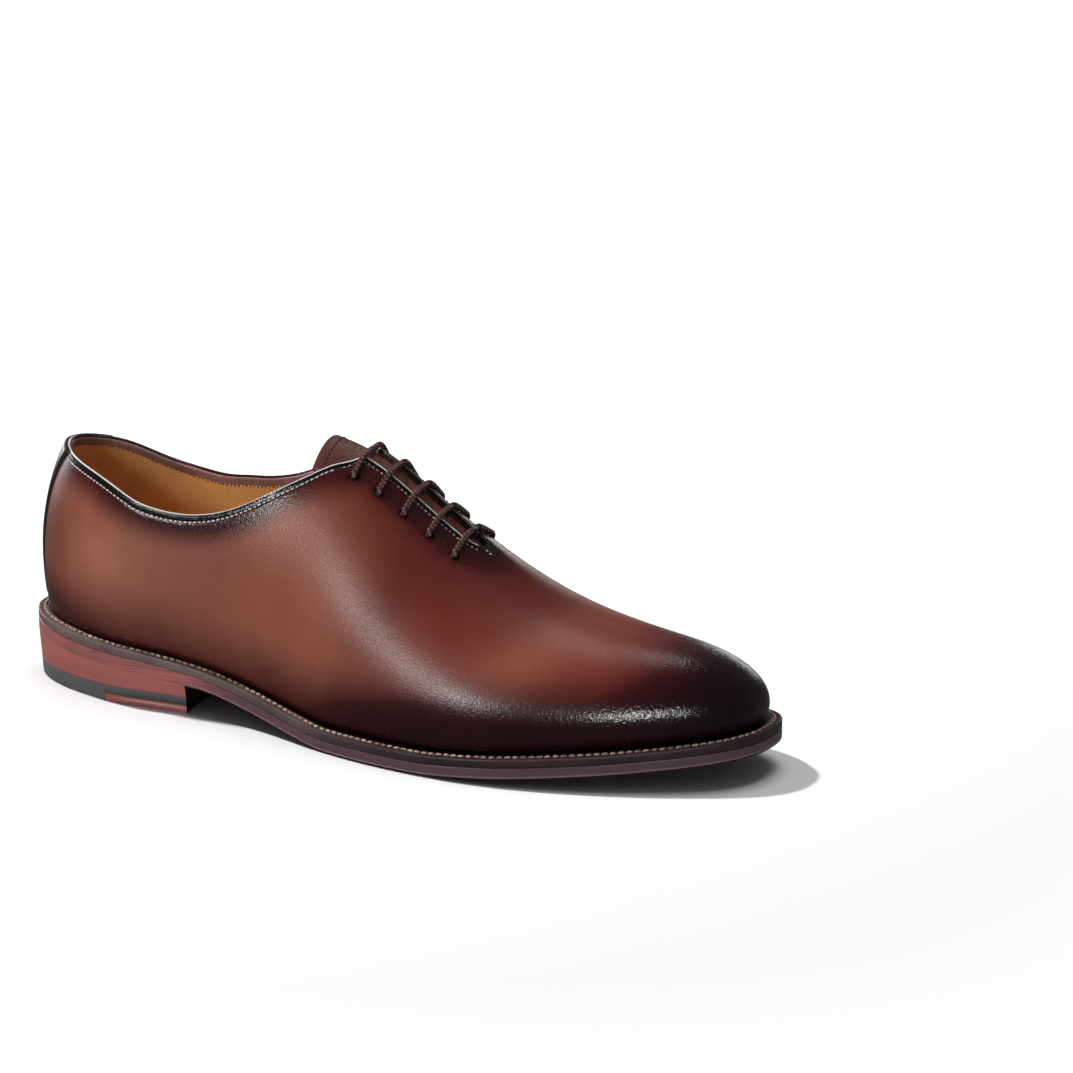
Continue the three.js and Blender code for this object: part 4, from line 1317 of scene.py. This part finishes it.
def add_laces(material):
    """Five bars of one lace, each out of one eyelet, over the throat and into the other."""
    radius = LACE_DIAMETER / 2
    for pair in range(EYELET_PAIRS):
        x = eyelet_x(pair)
        ride = radius + 0.05
        knots = []
        for side in (LATERAL, MEDIAL):
            reach = eyelet_reach(x, side)
            half = []
            for inset, lift in ((0.0, -5.0), (0.0, -1.6), (0.1, 0.1), (radius, ride), (3 * radius, ride), (EYELET_INSET - 1, ride)):
                loop, climb = beside_ridge(x, side, reach - inset)
                half.append(pushed(loop, climb, lift))
            knots.append(half)
        crest = pushed(turn_of_ridge(x), 1.0, ride - 2.2)
        route = smooth_route(np.array(knots[0] + [crest] + knots[1][::-1]), 260)
        points, faces, ribs = ribbed_cord(route, 1.1 * radius)
        thing = piece(f"lace_{pair + 1}", points, faces, material)
        give(thing, "rib", ribs)
        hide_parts(f"lace_bar_{pair + 1}")


def smooth_route(knots, count):
    """A Catmull-Rom curve through the knots, resampled evenly."""
    padded = np.vstack([2 * knots[0] - knots[1], knots, 2 * knots[-1] - knots[-2]])
    out = []
    for i in range(1, len(padded) - 2):
        p0, p1, p2, p3 = padded[i - 1 : i + 3]
        t = np.linspace(0, 1, 24, endpoint=False)[:, None]
        out.append(0.5 * (2 * p1 + (p2 - p0) * t + (2 * p0 - 5 * p1 + 4 * p2 - p3) * t**2 + (3 * p1 - p0 - 3 * p2 + p3) * t**3))
    line = np.vstack(out + [knots[-1:]])
    lengths = np.concatenate([[0], np.cumsum(np.linalg.norm(np.diff(line, axis=0), axis=1))])
    return along_path(line, lengths, np.linspace(0, lengths[-1], count))


def ribbed_cord(path, radius):
    """A waxed round cord: its braid shows as slanting ribs, whose height is handed back too."""
    sides = 20
    points, faces = tube(path, np.full(len(path), radius)[:, None], sides)
    lengths = np.concatenate([[0], np.cumsum(np.linalg.norm(np.diff(path, axis=0), axis=1))])
    ring = points.reshape(len(path), sides, 3)
    angles = np.linspace(0, 2 * math.pi, sides, endpoint=False)
    phase = lengths[:, None] * 2 * math.pi / 1.9
    ribs = 0.5 * np.abs(np.sin(phase / 2 + angles)) + 0.5 * np.abs(np.sin(phase / 2 - angles))
    swell = 1 + 0.06 * (ribs - 0.6)
    shaped = path[:, None] + (ring - path[:, None]) * swell[..., None]
    return shaped.reshape(-1, 3), faces, ribs.ravel()


def add_bar_tack(material, pale):
    """Close stitches across the throat's end, with two light ones beside them."""
    heap = Heap()
    lights = Heap()
    for k in range(6):
        x = THROAT_END - 1.0 + k * 0.75
        middle_y = TOE_SWING * ridge_swing(x / SOLE_LENGTH) - THROAT_SHIFT
        wanted = np.linspace(-3.2, 3.2, 13) + middle_y
        line = upper_point(turn_of_ridge(x), np.linspace(0.5, 1, 500))
        heights = np.interp(wanted, line[:, 1], line[:, 2])
        path = np.column_stack([np.full(13, x), wanted, heights + 0.3])
        heap.add(*tube(path, np.full(13, 0.42)[:, None], 8))
        if k in (2, 4):
            lights.add(*tube(path[1:3] + (0, 0, 0.25), np.full(2, 0.4)[:, None], 8))
    heap.make("bar_tack", material, "lace")
    lights.make("bar_tack_lights", pale, "lace")


# Camera, light and floor


def add_camera():
    azimuth = math.radians(CAMERA_AZIMUTH)
    elevation = math.radians(CAMERA_ELEVATION)
    roll = math.radians(CAMERA_ROLL)
    back = np.array([math.sin(azimuth) * math.cos(elevation), -math.cos(azimuth) * math.cos(elevation), math.sin(elevation)])
    right = np.array([math.cos(azimuth), math.sin(azimuth), 0.0])
    up = np.cross(back, right)
    turned_right = right * math.cos(roll) + up * math.sin(roll)
    turned_up = up * math.cos(roll) - right * math.sin(roll)
    spot = place(np.array(CAMERA_TARGET) + back * CAMERA_DISTANCE)
    data = bpy.data.cameras.new("photo_camera")
    data.lens = CAMERA_LENS
    data.sensor_width = 36.0
    data.clip_start = 0.05
    data.clip_end = 50
    camera = bpy.data.objects.new("photo_camera", data)
    axes = Matrix(np.column_stack([turned_right, turned_up, back]).tolist()).to_4x4()
    camera.matrix_world = Matrix.Translation(Vector(spot)) @ axes
    bpy.context.scene.collection.objects.link(camera)
    bpy.context.scene.camera = camera


def add_light(name, spot, target, size, power):
    data = bpy.data.lights.new(name, "AREA")
    data.shape = "RECTANGLE"
    data.size, data.size_y = size
    data.energy = power
    light = bpy.data.objects.new(name, data)
    direction = Vector(target) - Vector(spot)
    light.matrix_world = Matrix.Translation(Vector(spot)) @ direction.to_track_quat("-Z", "Y").to_matrix().to_4x4()
    bpy.context.scene.collection.objects.link(light)
    return light


def toward(azimuth, elevation, distance):
    """A spot seen from the shoe in that direction. Azimuth 0 is +X and 90 is +Y."""
    turn, lift = math.radians(azimuth), math.radians(elevation)
    flat = distance * math.cos(lift)
    return flat * math.cos(turn), flat * math.sin(turn), distance * math.sin(lift)


def floor_paper():
    """White paper that stays as bright far from the lamps as near the shoe."""
    r = Recipe("floor_paper", roughness=0.8, specular=0.1)
    r.colour((0.9, 0.9, 0.905, 1))
    middle = r.node("ShaderNodeVectorMath", operation="LENGTH")
    r.feed(middle.inputs[0], r.place)
    r.shader.inputs["Emission Color"].default_value = (1, 1, 1, 1)
    r.feed(r.shader.inputs["Emission Strength"], r.spread(middle.outputs["Value"], 0.26, 0.9, 0.0, 0.8))
    return r.material


def add_stage():
    mesh = bpy.data.meshes.new("floor")
    size = 6.0
    mesh.from_pydata([(-size, -size, 0), (size, -size, 0), (size, size, 0), (-size, size, 0)], [], [(0, 1, 2, 3)])
    floor = bpy.data.objects.new("floor", mesh)
    bpy.context.scene.collection.objects.link(floor)
    mesh.materials.append(floor_paper())
    floor.visible_glossy = False
    add_world()
    bpy.context.scene.view_settings.view_transform = "Standard"
    heart = (0, 0, 0.04)
    left = add_light("left_box", toward(176, 58, 1.7), heart, (0.07, 0.07), 25)
    top = add_light("top_box", toward(72, 77, 1.6), heart, (0.9, 0.9), 11)
    side = add_light("side_box", toward(-120, 28, 1.6), heart, (0.5, 0.4), 11)
    side_sheen = add_light("side_sheen", toward(-109, 26.5, 1.6), heart, (0.22, 0.16), 13)
    vamp_sheen = add_light("vamp_sheen", toward(113, 58, 1.6), heart, (0.4, 0.25), 2.2)
    toe_sheen = add_light("toe_sheen", toward(-58, 22.5, 1.5), heart, (0.28, 0.09), 8)
    back_sheen = add_light("back_sheen", toward(158, 8, 1.6), heart, (0.9, 0.5), 6.5)
    far_sheen = add_light("far_sheen", toward(94, 9, 1.6), heart, (0.6, 0.3), 1.5)
    for lamp in (left, top, side):
        lamp.visible_glossy = False
    sheens = (side_sheen, vamp_sheen, toe_sheen, back_sheen, far_sheen)
    for lamp in sheens:
        lamp.visible_diffuse = False
    spare_floor((side,) + sheens, floor)


def add_world():
    """A white backdrop that lights the shoe only a little."""
    world = bpy.data.worlds.new("studio")
    world.use_nodes = True
    tree = world.node_tree
    background = next(n for n in tree.nodes if n.type == "BACKGROUND")
    background.inputs["Color"].default_value = (1.0, 1.0, 1.0, 1.0)
    seen = tree.nodes.new("ShaderNodeLightPath").outputs["Is Camera Ray"]
    strength = tree.nodes.new("ShaderNodeMapRange")
    strength.inputs["To Min"].default_value = 0.12
    strength.inputs["To Max"].default_value = 1.0
    tree.links.new(seen, strength.inputs["Value"])
    tree.links.new(strength.outputs["Result"], background.inputs["Strength"])
    bpy.context.scene.world = world


def spare_floor(lights, floor):
    """These lamps light the shoe and not the paper under it."""
    group = bpy.data.collections.new("spared")
    group.objects.link(floor)
    group.collection_objects[0].light_linking.link_state = "EXCLUDE"
    for light in lights:
        light.light_linking.receiver_collection = group


def main():
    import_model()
    add_camera()
    pale_thread = thread("pale_thread", "d6cec6", "a89c94")
    tan_thread = thread("tan_thread", "c2a890", "6c4c40")
    band_thread = thread("band_thread", "d9b27c", "a9794a")
    facing_thread = thread("facing_thread", "b8a69c", "4a3632")
    dark_thread = thread("dark_thread", "4a2a26", "241214")
    dark_edge = edge_leather("outsole_leather", "5e464c", "3a282e", "a25e58")
    stack = edge_leather("heel_leather", "a25e58", "7a403c")
    upper_material = upper_leather()
    strip = plain_leather("strip_leather", "2a1c1e", "1c1214", 0.32, grain=900, strength=0.08)
    tongue = plain_leather("tongue_leather", "5c342c", "3a1a16", 0.42, grain=700)
    lining = plain_leather("lining_leather", "dca25e", "c48c4c", 0.55, grain=800, strength=0.12)
    band = plain_leather("band_leather", "96706a", "6e4a44", 0.42, grain=800, strength=0.12)
    insole = plain_leather("insole_leather", "b98a58", "a0743f", 0.6)
    lace = lace_cord()
    add_outsole(dark_edge)
    add_welt(welt_leather(), tan_thread)
    add_insole(insole, lining)
    add_heel(stack, rubber(), breast_shade())
    grid = upper_grid()
    upper = add_upper(upper_material, grid)
    punch_eyelets(upper)
    paint_upper(upper, grid)
    add_lining(lining, band, grid, band_thread)
    add_collar_stitches(pale_thread, facing_thread, grid)
    add_edge_bead(edge_paint(), grid)
    add_back_strip(strip)
    add_tongue(tongue, dark_thread)
    add_laces(lace)
    add_bar_tack(thread("tack_thread", "100809", "080405", roughness=0.75), pale_thread)
    add_stage()
    bpy.context.view_layer.update()


main()
